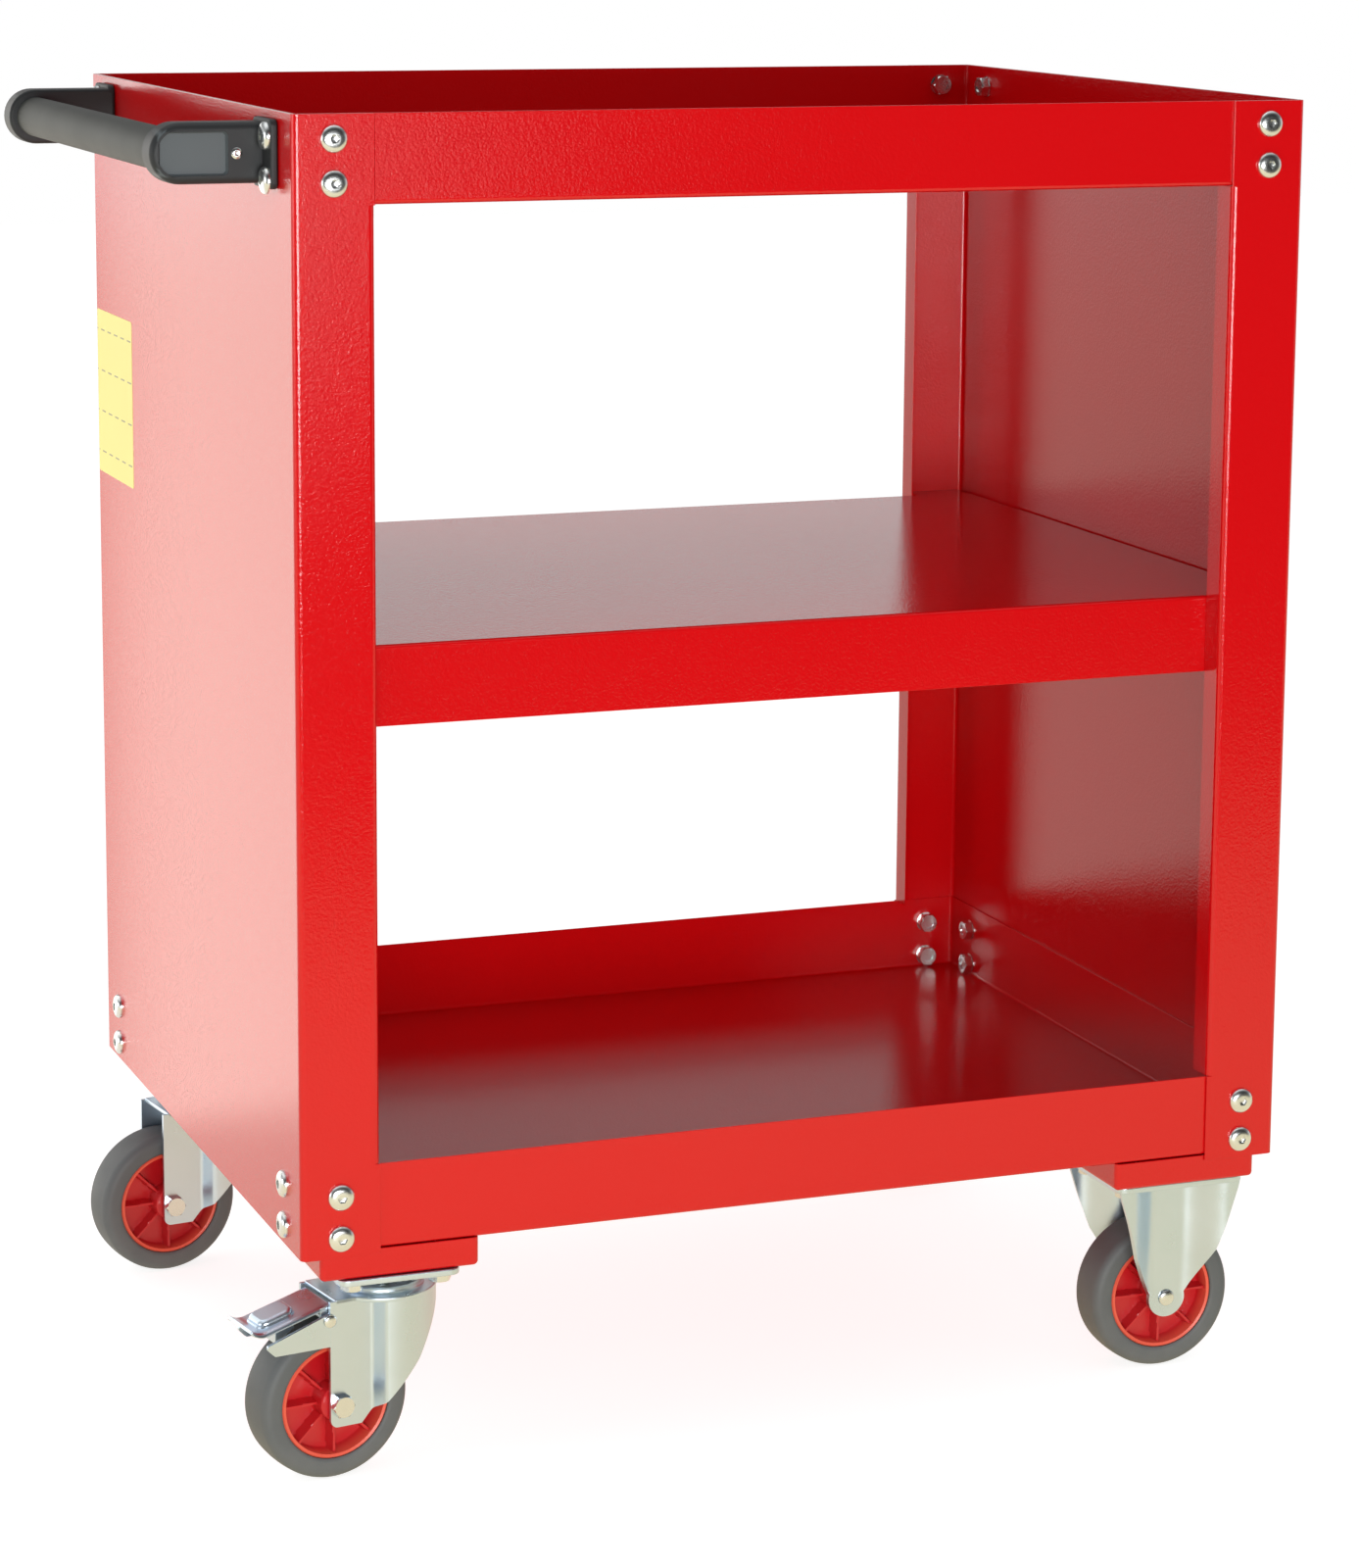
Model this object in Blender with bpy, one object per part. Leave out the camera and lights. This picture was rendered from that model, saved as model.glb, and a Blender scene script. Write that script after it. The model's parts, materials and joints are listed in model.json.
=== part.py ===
"""Three-level utility cart in folded sheet steel, on two swivel and two fixed castors.

Metres, +Z up. The cart stands on z = 0, its long front faces -Y and its push handle is at the -X end.
The origin is the point on the floor under the middle of the whole cart's bounding box.
"""

from math import atan2, cos, pi, radians, sin, sqrt

import bmesh
import bpy
from mathutils import Matrix, Vector

# Overall sizes
WIDTH = 0.662            # over the two side panels, along X
DEPTH = 0.508            # over the front and rear posts, along Y
PANEL_HEIGHT = 0.690     # side panels, bottom edge to top edge
GAP = 0.0003             # clearance where one piece seats on or in another
CUT_PAST = 0.010         # how far cutters run past the faces that they cut

# Folded side panels
PANEL_SHEET = 0.0015
PANEL_BEND = 0.004
POST_WIDTH = 0.050       # front and rear post faces
POST_LIP = 0.020         # inner lip folded back from each post

# Trays and shelf
TRAY_SHEET = 0.0012
TRAY_BEND = 0.003
TRAY_HEIGHT = 0.0533
BOTTOM_TRAY_RISE = 0.0033    # underside of the bottom tray above the panels' bottom edge
SHELF_TOP_RISE = 0.372       # middle shelf's top face above the panels' bottom edge
SHELF_SKIRT = 0.0495
SHELF_BEND = 0.0025
EAR_INSET = 0.0002           # shelf ears' faces inside the sheet's faces

# Caster beams under the bottom tray
BEAM_SIDE_MARGIN = 0.0045    # beams' sides past the fixed castors' plates
BEAM_SHEET = 0.002
BEAM_BEND = 0.003
BEAM_DROP = 0.015        # beams' underside below the side panels' bottom edge

# Frame fasteners
BOLT_RADIUS = 0.004
BOLT_HOLE_RADIUS = 0.0045
BOLT_HEAD_RADIUS = 0.0084
BOLT_HEAD_HEIGHT = 0.004
BOLT_EDGE_RATIO = 0.6    # flat top of a domed head, as a share of its radius
NUT_RADIUS = 0.0075      # over the corners of the hexagon
NUT_HEIGHT = 0.0060
NUT_STRIP_THICKNESS = 0.0008     # thin strip that joins the two nuts of a pair
NUT_STRIP_WIDTH = 0.012
NUT_STRIP_MARGIN = 0.006         # strip's ends past the bolts' centres
CORNER_BOLT_SPACING = 0.026
CORNER_BOLT_END = 0.0125     # lowest bolt above the panels' bottom edge
CORNER_BOLT_TOP = 0.0145     # highest bolt below the panels' top edge
SIDE_BOLT_INSET = 0.038      # side bolts in from the front and rear faces

# Push handle
HANDLE_REACH = 0.072     # from the left panel to the handle's outermost point
HANDLE_DROP = 0.025      # handle's centre below the panels' top edge
BRACKET_WALL = 0.005     # bracket above and below the grip
BRACKET_WIDTH = 0.022
BRACKET_BOLT_CLEARANCE = 0.0006  # bracket's outer side to the bolts' heads
FLANGE_WIDTH = 0.040
FLANGE_HEIGHT = 0.041
FLANGE_THICKNESS = 0.0045
FLANGE_EDGE = 0.001      # flange's edge past the bolts' heads
GRIP_RADIUS = 0.013
GRIP_WALL = 0.002
GRIP_SOCKET_DEPTH = 0.012
GRIP_SOCKET_CLEARANCE = 0.0003
RECESS_LENGTH = 0.040
RECESS_HEIGHT = 0.025
RECESS_DEPTH = 0.003
RECESS_FROM_END = 0.006
BRACKET_CORNER = 0.004
NECK_SCREW_MARGIN = 0.0016   # screw's head past the recess
NECK_SCREW_HEAD_RADIUS = 0.0034
NECK_SCREW_HEAD_HEIGHT = 0.0015
NECK_SCREW_RADIUS = 0.0017
NECK_SCREW_LENGTH = 0.008

# Castors
CASTER_INSET_X = 0.063   # plate centres in from the side panels
CASTER_END_CLEARANCE = 0.0012    # castor screws' plate to the beam's end bend
CASTER_HEADROOM = 0.035  # wheel's top to the beams' underside
SCREW_PLATE_THICKNESS = 0.004    # tapped plate that a castor's screws go into
SCREW_PLATE_MARGIN = 0.006
PLATE_THICKNESS = 0.004
PLATE_CORNER = 0.007
SWIVEL_PLATE_X = 0.078
SWIVEL_PLATE_Y = 0.090
SWIVEL_HOLE_X = 0.056
SWIVEL_HOLE_Y = 0.068
FIXED_PLATE_X = 0.092
FIXED_PLATE_Y = 0.080
FIXED_HOLE_X = 0.070
FIXED_HOLE_Y = 0.054
SCREW_HEAD_HEIGHT = 0.0053
SCREW_HEAD_RADIUS = 0.0073
FRONT_LEFT_TURN = radians(10)    # how far each swivel castor stands turned
REAR_LEFT_TURN = radians(8)

# Swivel head
TRAIL = 0.038            # wheel axle behind the swivel axis
HEAD_RADIUS = 0.035
CROWN_THICKNESS = 0.003
RACE_RADIUS = 0.027
RACE_HEIGHT = 0.0035
UPPER_RACE_HEIGHT = 0.0042
BALL_RADIUS = 0.00245
BALL_CIRCLE_RADIUS = 0.021
BALL_CLEARANCE = 0.0003
KINGPIN_RADIUS = 0.006
KINGPIN_HEAD_RADIUS = 0.011
KINGPIN_HEAD_HEIGHT = 0.0035
KINGPIN_RUNNING_CLEARANCE = 0.0005

# Forks and wheels
WHEEL_RADIUS = 0.050
TYRE_WIDTH = 0.032
TYRE_SHOULDER = 0.006
TYRE_THICKNESS = 0.0138  # tread to the hub's outside
RIM_THICKNESS = 0.0027
RIM_INSET = 0.001        # rim's edges inside the tyre's sides
WEB_THICKNESS = 0.006
RIB_COUNT = 8
RIB_WIDTH = 0.0024
RIB_DRAFT = 1.15         # ribs' width at the foot over the width at the crest
RIB_RECESS = 0.0035      # ribs' edges inside the rim's edge
HUB_BOSS_WALL = 0.005
HUB_SIDE_CLEARANCE = 0.0015  # hub's boss to the fork's legs
SLEEVE_WALL = 0.0017
HUB_RUNNING_CLEARANCE = 0.0003
FORK_SHEET = 0.0025
FORK_TYRE_CLEARANCE = 0.0035     # tyre's sides to the fork's legs
AXLE_RADIUS = 0.004
AXLE_HEAD_RADIUS = 0.0075
AXLE_HEAD_HEIGHT = 0.005
AXLE_NUT_HEIGHT = 0.0065
AXLE_THREAD_RADIUS = 0.0034
AXLE_THREAD_END = 0.0015     # thread showing past the nut
RIVET_HEAD_RADIUS = 0.0055
RIVET_HEAD_HEIGHT = 0.0022
LEG_END_RADIUS = 0.014   # rounded leg end below the axle
LEG_REAR = 0.007         # swivel fork's rear edge behind the axle
KNEE_X = 0.0106          # bend in the swivel fork's lower edge, ahead of the swivel axis
KNEE_RISE = 0.025        # and above the axle
FIXED_LEG_END_RADIUS = 0.013
LEG_END_SHARES = (-0.97, -0.7, 0.0, 0.25)    # rows of points up the leg's end, as shares of its radius
FLANK_RISE = 0.034       # fixed fork's legs: height above the axle where their sides steepen
FLANK_HALF = 0.029       # half width there
LEG_TOP_INSET = 0.002    # legs' top corners inside the plate's
WING_START = 0.010       # where the legs' sides start to curve outwards, from the middle
WING_END = 0.036
WING_FLARE = 0.0165

# Brake on the front left castor
ARM_LAP = 0.011              # fork's brake arms reach this far below the wheel's top
ARM_TIP_RISE = 0.006
ARM_ROOT_DEPTH = 0.008
ARM_INSET = 0.0001           # arms' faces inside the legs' faces
BRAKE_PIN_BEHIND = 0.007     # pin behind the axle
BRAKE_PIN_DROP = 0.0125      # pin below the crown's top
BRAKE_PIN_RADIUS = 0.0025
BRAKE_PIN_HEAD_RADIUS = 0.0042
BRAKE_PIN_HEAD_HEIGHT = 0.0015
PEDAL_SHEET = 0.0022
PEDAL_CLEARANCE = 0.0010     # pedal's sides inside the fork's arms
PEDAL_INNER_BEHIND = 0.0055  # pedal's inner edge behind the axle
PEDAL_TIP_PAST = 0.007       # pedal's tip past the tyre
PEDAL_INNER_DROP = 0.0025    # pedal's top face below the crown's top, at its inner edge
PEDAL_FALL = 0.014           # further down at its tip
PEDAL_PAD_CORNER = 0.007
PEDAL_PAD_WIDTH = 0.024
PEDAL_PAD_HEIGHT = 0.004
PEDAL_PAD_LENGTH = 0.026
PEDAL_EAR_RADIUS = 0.0048
SHOE_WIDTH = 0.020
SHOE_HALF_LENGTH = 0.008
SHOE_ANGLE = radians(55)     # where the shoe meets the tyre, up from level at the axle
SHOE_REST_GAP = 0.006        # shoe to tyre with the brake off

# Mesh fineness
ROUND_STEPS = 24
SMALL_STEPS = 8
TYRE_STEPS = 28
BEND_STEPS = 2
BRACKET_STEPS = 8
BALL_SIDES = 8
PIN_STEPS = 12
PAD_STEPS = 4
WRAP_STEPS = 7

# Places that follow from the sizes above
BEAM_BOTTOM = 2 * WHEEL_RADIUS + CASTER_HEADROOM
PANEL_BOTTOM = BEAM_BOTTOM + BEAM_DROP
PANEL_TOP = PANEL_BOTTOM + PANEL_HEIGHT
PANEL_OUTER_X = WIDTH / 2
POST_OUTER_Y = DEPTH / 2
PANEL_INNER_X = PANEL_OUTER_X - PANEL_SHEET
POST_INNER_Y = POST_OUTER_Y - PANEL_SHEET
TRAY_HALF_X = PANEL_INNER_X - GAP
TRAY_HALF_Y = POST_INNER_Y - GAP
TOP_TRAY_BOTTOM = PANEL_TOP - TRAY_HEIGHT
BOTTOM_TRAY_BOTTOM = PANEL_BOTTOM + BOTTOM_TRAY_RISE
SHELF_TOP = PANEL_BOTTOM + SHELF_TOP_RISE
LIP_END_Y = POST_OUTER_Y - POST_LIP
LIP_FACE_X = PANEL_OUTER_X - POST_WIDTH
POST_BOLT_X = PANEL_OUTER_X - POST_WIDTH / 2
SIDE_BOLT_Y = POST_OUTER_Y - SIDE_BOLT_INSET
HANDLE_Z = PANEL_TOP - HANDLE_DROP
HANDLE_END_X = -PANEL_OUTER_X - HANDLE_REACH
HANDLE_ROOT_X = -PANEL_OUTER_X - GAP
BRACKET_HALF_HEIGHT = GRIP_RADIUS + BRACKET_WALL
BRACKET_OUTER_Y = SIDE_BOLT_Y - BOLT_HEAD_RADIUS - BRACKET_BOLT_CLEARANCE
BRACKET_INNER_Y = BRACKET_OUTER_Y - BRACKET_WIDTH
GRIP_X = HANDLE_END_X + BRACKET_HALF_HEIGHT
NECK_SCREW_X = HANDLE_END_X + RECESS_FROM_END + RECESS_LENGTH + NECK_SCREW_MARGIN + NECK_SCREW_HEAD_RADIUS
BEAM_WIDTH = FIXED_PLATE_X + 2 * BEAM_SIDE_MARGIN
CASTER_X = PANEL_OUTER_X - CASTER_INSET_X
CASTER_Y = TRAY_HALF_Y - BEAM_BEND - CASTER_END_CLEARANCE - SCREW_PLATE_MARGIN - SWIVEL_HOLE_Y / 2
PLATE_TOP = BEAM_BOTTOM - GAP
PLATE_BOTTOM = PLATE_TOP - PLATE_THICKNESS
UPPER_RACE_BOTTOM = PLATE_BOTTOM - UPPER_RACE_HEIGHT
RACE_TOP = UPPER_RACE_BOTTOM - 2 * (BALL_RADIUS + BALL_CLEARANCE)
CROWN_TOP = RACE_TOP - RACE_HEIGHT
CROWN_BOTTOM = CROWN_TOP - CROWN_THICKNESS
RIM_RADIUS = WHEEL_RADIUS - TYRE_THICKNESS
FORK_INNER_Y = TYRE_WIDTH / 2 + FORK_TYRE_CLEARANCE
FORK_OUTER_Y = FORK_INNER_Y + FORK_SHEET
HUB_BOSS_HALF = FORK_INNER_Y - HUB_SIDE_CLEARANCE
SLEEVE_BORE_RADIUS = AXLE_RADIUS + GAP
SLEEVE_RADIUS = SLEEVE_BORE_RADIUS + SLEEVE_WALL
HUB_BORE_RADIUS = SLEEVE_RADIUS + HUB_RUNNING_CLEARANCE
BRAKE_PIN_X = -TRAIL - BRAKE_PIN_BEHIND
BRAKE_PIN_Z = CROWN_TOP - BRAKE_PIN_DROP
PEDAL_INNER_X = -TRAIL - PEDAL_INNER_BEHIND
PEDAL_OUTER_X = -TRAIL - WHEEL_RADIUS - PEDAL_TIP_PAST
PEDAL_INNER_Z = CROWN_TOP - PEDAL_INNER_DROP
PEDAL_OUTER_Z = PEDAL_INNER_Z - PEDAL_FALL
TOP_BOLT_HEIGHTS = (PANEL_TOP - CORNER_BOLT_TOP, PANEL_TOP - CORNER_BOLT_TOP - CORNER_BOLT_SPACING)
LOW_BOLT_HEIGHTS = (PANEL_BOTTOM + CORNER_BOLT_END, PANEL_BOTTOM + CORNER_BOLT_END + CORNER_BOLT_SPACING)
FRAME_SHIFT_X = (HANDLE_REACH - BOLT_HEAD_HEIGHT) / 2

RED = (0.62, 0.012, 0.014)
ZINC = (0.62, 0.66, 0.65)
BLACK = (0.028, 0.030, 0.032)
GRIP_GREY = (0.12, 0.13, 0.12)
TYRE_GREY = (0.10, 0.105, 0.11)
HUB_RED = (0.58, 0.010, 0.018)

AXIS_X, AXIS_Y, AXIS_Z = 0, 1, 2


# Materials and finished objects

def material(name, colour, roughness, metallic):
    """Return a Principled BSDF material of one plain colour."""
    made = bpy.data.materials.new(name)
    made.use_nodes = True
    shader = made.node_tree.nodes["Principled BSDF"]
    shader.inputs["Base Color"].default_value = (*colour, 1.0)
    shader.inputs["Roughness"].default_value = roughness
    shader.inputs["Metallic"].default_value = metallic
    return made


def paint():
    return RED, 0.35, 0.0


def zinc():
    return ZINC, 0.30, 1.0


def place(name, bm, look, smooth=True):
    """Turn a bmesh into a named object with its own material, and free the bmesh."""
    bmesh.ops.recalc_face_normals(bm, faces=bm.faces[:])
    mesh = bpy.data.meshes.new(name)
    bm.to_mesh(mesh)
    bm.free()
    if smooth:
        mesh.shade_smooth()
        mesh.set_sharp_from_angle(angle=radians(35))
    made = bpy.data.objects.new(name, mesh)
    bpy.context.scene.collection.objects.link(made)
    mesh.materials.append(material(name, *look))
    return made


def combine(obj, bm, operation):
    """Apply one exact Boolean with a solid given as a bmesh."""
    tool = place(obj.name + "_tool", bm, paint(), smooth=False)
    modifier = obj.modifiers.new("cut", "BOOLEAN")
    modifier.operation = operation
    modifier.solver = "EXACT"
    modifier.object = tool
    bpy.context.view_layer.update()
    graph = bpy.context.evaluated_depsgraph_get()
    result = bpy.data.meshes.new_from_object(obj.evaluated_get(graph))
    obj.modifiers.clear()
    obj.data = result
    tool_material = tool.data.materials[0]
    bpy.data.objects.remove(tool)
    bpy.data.materials.remove(tool_material)
    tidy = bmesh.new()
    tidy.from_mesh(result)
    bmesh.ops.remove_doubles(tidy, verts=tidy.verts[:], dist=0.000002)
    bmesh.ops.dissolve_degenerate(tidy, edges=tidy.edges[:], dist=0.000001)
    tidy.to_mesh(result)
    tidy.free()
    result.set_sharp_from_angle(angle=radians(35))


def subtract(obj, bm):
    combine(obj, bm, "DIFFERENCE")


def unite(obj, bm):
    combine(obj, bm, "UNION")


# Simple solids

def add_box(bm, low, high):
    """Add a box between two corners."""
    size = Vector(high) - Vector(low)
    centre = (Vector(high) + Vector(low)) / 2
    matrix = Matrix.Translation(centre) @ Matrix.Diagonal((*size, 1.0))
    return bmesh.ops.create_cube(bm, size=1.0, matrix=matrix)["verts"]


def along(axis, u, v, w):
    """Return a point with w along the axis and u, v along the other two, in X, Y, Z order."""
    if axis == AXIS_X:
        return Vector((w, u, v))
    if axis == AXIS_Y:
        return Vector((u, w, v))
    return Vector((u, v, w))


def add_prism(bm, outline, axis, start, end):
    """Add a prism: an outline of (u, v) points carried from start to end along the axis."""
    rings = [[bm.verts.new(along(axis, u, v, w)) for u, v in outline] for w in (start, end)]
    count = len(outline)
    bm.faces.new(rings[0])
    bm.faces.new(rings[1][::-1])
    for i in range(count):
        j = (i + 1) % count
        bm.faces.new((rings[0][j], rings[0][i], rings[1][i], rings[1][j]))
    bmesh.ops.recalc_face_normals(bm, faces=bm.faces[:])


def add_turned(bm, profile, axis, centre, steps=ROUND_STEPS, phase=0.5):
    """Add a solid turned about an axis through centre.

    The profile is a list of (radius, place along the axis). Where it starts and ends at radius 0 the
    solid is full; otherwise the profile closes on itself and leaves a bore.
    """
    rings = []
    for radius, w in profile:
        if radius == 0:
            rings.append([bm.verts.new(Vector(centre) + along(axis, 0, 0, w))])
            continue
        ring = []
        for i in range(steps):
            angle = 2 * pi * (i + phase) / steps
            ring.append(bm.verts.new(Vector(centre) + along(axis, radius * cos(angle), radius * sin(angle), w)))
        rings.append(ring)
    closed = profile[0][0] != 0
    pairs = list(zip(rings, rings[1:]))
    if closed:
        pairs.append((rings[-1], rings[0]))
    for lower, upper in pairs:
        for i in range(steps):
            j = (i + 1) % steps
            corners = [lower[i % len(lower)], lower[j % len(lower)], upper[j % len(upper)], upper[i % len(upper)]]
            bm.faces.new(list(dict.fromkeys(corners)))


def add_rod(bm, radius, axis, centre, start, end, steps=ROUND_STEPS, phase=0.5):
    """Add a plain round rod from start to end along the axis."""
    profile = [(radius, start), (radius, end)]
    full = [(0, start)] + profile + [(0, end)]
    add_turned(bm, full, axis, centre, steps, phase)


def arc(centre_u, centre_v, radius, first, last, steps):
    """Return points on an arc between two angles, both ends included."""
    angles = [first + (last - first) * i / steps for i in range(steps + 1)]
    return [(centre_u + radius * cos(a), centre_v + radius * sin(a)) for a in angles]


def rounded_rectangle(half_u, half_v, radius, steps=BEND_STEPS, centre=(0.0, 0.0)):
    """Return the outline of a rectangle with round corners."""
    points = []
    for quarter, (su, sv) in enumerate(((1, 1), (-1, 1), (-1, -1), (1, -1))):
        first = quarter * pi / 2
        corner = (centre[0] + su * (half_u - radius), centre[1] + sv * (half_v - radius))
        points += arc(*corner, radius, first, first + pi / 2, steps)
    return points


def add_pan(bm, half_x, half_y, bottom, top, radius):
    """Add a block with rounded bottom and upright edges, as the outside of a folded tray."""
    start = len(bm.verts)
    add_box(bm, (-half_x, -half_y, bottom), (half_x, half_y, top))
    bm.verts.ensure_lookup_table()
    fresh = set(bm.verts[start:])
    edges = []
    for edge in bm.edges:
        if not fresh.issuperset(edge.verts):
            continue
        if all(abs(vert.co.z - top) < 1e-6 for vert in edge.verts):
            continue
        edges.append(edge)
    bmesh.ops.bevel(bm, geom=edges, offset=radius, offset_type="OFFSET", segments=BEND_STEPS,
                    profile=0.5, affect="EDGES")


def pan(name, half_x, half_y, bottom, top, sheet, bend):
    """Make an open-topped folded tray."""
    outer = bmesh.new()
    add_pan(outer, half_x, half_y, bottom, top, bend)
    made = place(name, outer, paint())
    inner = bmesh.new()
    add_pan(inner, half_x - sheet, half_y - sheet, bottom + sheet, top + bend, bend - sheet)
    subtract(made, inner)
    return made


# Fasteners, each laid along an axis with its head on the outer face

def add_dome_bolt(bm, axis, sign, centre, face, end):
    """Add a dome-headed bolt: head on the plane at face, shank running to end, outwards being sign."""
    seat = face + sign * GAP
    top = face + sign * BOLT_HEAD_HEIGHT
    profile = [
        (0, end),
        (BOLT_RADIUS, end),
        (BOLT_RADIUS, seat),
        (BOLT_HEAD_RADIUS, seat),
        (BOLT_HEAD_RADIUS, seat + (top - seat) / 4),
        (BOLT_HEAD_RADIUS * BOLT_EDGE_RATIO, top),
        (0, top),
    ]
    add_turned(bm, profile, axis, centre, SMALL_STEPS)


def add_hex_screw(bm, axis, sign, centre, face, end, head_radius, head_height, shank):
    """Add a hexagon-headed screw with a six-sided shank."""
    seat = face + sign * GAP
    profile = [
        (0, end),
        (shank, end),
        (shank, seat),
        (head_radius, seat),
        (head_radius, seat + sign * head_height),
        (0, seat + sign * head_height),
    ]
    add_turned(bm, profile, axis, centre, 6, phase=0.0)


def corner_pairs(level, heights):
    """List the bolt pairs of one tray's corners as (name, axis, outward sign, place, outer face)."""
    z = sum(heights) / len(heights)
    pairs = []
    for end, sy in (("front", -1), ("rear", 1)):
        for side, sx in (("left", -1), ("right", 1)):
            name = f"{end}_{side}_{level}"
            pairs.append((name + "_post_bolts", AXIS_Y, sy, Vector((sx * POST_BOLT_X, 0, z)), POST_OUTER_Y))
            pairs.append((name + "_side_bolts", AXIS_X, sx, Vector((0, sy * SIDE_BOLT_Y, z)), PANEL_OUTER_X))
    return pairs


def pair_centres(centre):
    """Return the two bolt centres of a pair, one above the other."""
    return [centre + Vector((0, 0, s * CORNER_BOLT_SPACING / 2)) for s in (-1, 1)]


def inside_face(axis):
    """Return the inner face of a tray wall, where its nuts seat."""
    return (TRAY_HALF_X if axis == AXIS_X else TRAY_HALF_Y) - TRAY_SHEET


def add_hole_tools(bm, pairs):
    """Add a rod at each bolt of the pairs, long enough to pierce panel and tray."""
    for _, axis, sign, centre, face in pairs:
        for spot in pair_centres(centre):
            add_rod(bm, BOLT_HOLE_RADIUS, axis, spot, sign * (face - CUT_PAST), sign * (face + CUT_PAST),
                    SMALL_STEPS)


def bolt_pair(name, axis, sign, centre, face):
    """Make a pair of frame bolts with their nuts, joined by the thin strip under the nuts."""
    seat = inside_face(axis) - GAP
    strip_top = seat - NUT_STRIP_THICKNESS
    half_z = CORNER_BOLT_SPACING / 2 + NUT_STRIP_MARGIN
    half_u = NUT_STRIP_WIDTH / 2
    corners = [centre + along(axis, s * half_u, s * half_z, sign * w) for s, w in ((-1, strip_top), (1, seat))]
    low = [min(values) for values in zip(*corners)]
    high = [max(values) for values in zip(*corners)]
    bm = bmesh.new()
    add_box(bm, low, high)
    made = place(name, bm, zinc())
    nuts = bmesh.new()
    bolts = bmesh.new()
    middle = sign * (seat + strip_top) / 2
    for spot in pair_centres(centre):
        add_rod(nuts, NUT_RADIUS, axis, spot, middle, sign * (strip_top - NUT_HEIGHT), 6, 0.0)
        add_dome_bolt(bolts, axis, sign, spot, sign * face, middle)
    unite(made, nuts)
    unite(made, bolts)


def frame_bolts():
    """Make all pairs of frame bolts; those at the handle also clamp its flanges."""
    for pair in corner_pairs("top", TOP_BOLT_HEIGHTS) + corner_pairs("bottom", LOW_BOLT_HEIGHTS):
        name, axis, sign, centre, face = pair
        if "left_top_side" in name:
            face += GAP + FLANGE_THICKNESS
        bolt_pair(name, axis, sign, centre, face)


# Sheet-metal body

def panel_outline():
    """Return the plan of the left side panel: lip, post, panel, post, lip, with round bends."""
    corners = [
        (-LIP_FACE_X, LIP_END_Y),
        (-LIP_FACE_X, POST_OUTER_Y),
        (-PANEL_OUTER_X, POST_OUTER_Y),
        (-PANEL_OUTER_X, -POST_OUTER_Y),
        (-LIP_FACE_X, -POST_OUTER_Y),
        (-LIP_FACE_X, -LIP_END_Y),
    ]
    outer = [corners[0]]
    inner = [(corners[0][0] - PANEL_SHEET, corners[0][1])]
    for index, (sx, sy) in enumerate(((1, 1), (-1, 1), (-1, -1), (1, -1))):
        x, y = corners[index + 1]
        centre = (x - sx * PANEL_BEND, y - sy * PANEL_BEND)
        first = index * pi / 2
        outer += arc(*centre, PANEL_BEND, first, first + pi / 2, BEND_STEPS)
        inner += arc(*centre, PANEL_BEND - PANEL_SHEET, first, first + pi / 2, BEND_STEPS)
    outer.append(corners[-1])
    inner.append((corners[-1][0] - PANEL_SHEET, corners[-1][1]))
    return outer + inner[::-1]


def side_panel(name, side, pairs):
    """Make one folded side panel with its lips cut away beside both trays."""
    bm = bmesh.new()
    add_prism(bm, panel_outline(), AXIS_Z, PANEL_BOTTOM, PANEL_TOP)
    if side > 0:
        bmesh.ops.scale(bm, vec=(-1, 1, 1), verts=bm.verts[:])
    made = place(name, bm, paint())
    notch_top = TOP_TRAY_BOTTOM - GAP
    notch_low = BOTTOM_TRAY_BOTTOM + TRAY_HEIGHT + GAP
    for low, high in ((notch_top, PANEL_TOP + CUT_PAST), (PANEL_BOTTOM - CUT_PAST, notch_low)):
        for sy in (-1, 1):
            tool = bmesh.new()
            xs = sorted((side * (LIP_FACE_X - CUT_PAST), side * (LIP_FACE_X + PANEL_BEND)))
            ys = sorted((sy * (LIP_END_Y - CUT_PAST), sy * POST_INNER_Y))
            add_box(tool, (xs[0], ys[0], low), (xs[1], ys[1], high))
            subtract(made, tool)
    holes = bmesh.new()
    add_hole_tools(holes, pairs)
    subtract(made, holes)


def side_panels():
    """Make both side panels, each with the holes of the bolts on its side."""
    pairs = corner_pairs("top", TOP_BOLT_HEIGHTS) + corner_pairs("bottom", LOW_BOLT_HEIGHTS)
    for side_name, side in (("left", -1), ("right", 1)):
        side_panel(side_name + "_side_panel", side, [pair for pair in pairs if f"_{side_name}_" in pair[0]])


def trays():
    """Make the top and bottom trays."""
    for level, bottom, heights in (("top", TOP_TRAY_BOTTOM, TOP_BOLT_HEIGHTS),
                                   ("bottom", BOTTOM_TRAY_BOTTOM, LOW_BOLT_HEIGHTS)):
        made = pan(level + "_tray", TRAY_HALF_X, TRAY_HALF_Y, bottom, bottom + TRAY_HEIGHT, TRAY_SHEET, TRAY_BEND)
        holes = bmesh.new()
        add_hole_tools(holes, corner_pairs(level, heights))
        subtract(made, holes)


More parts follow.
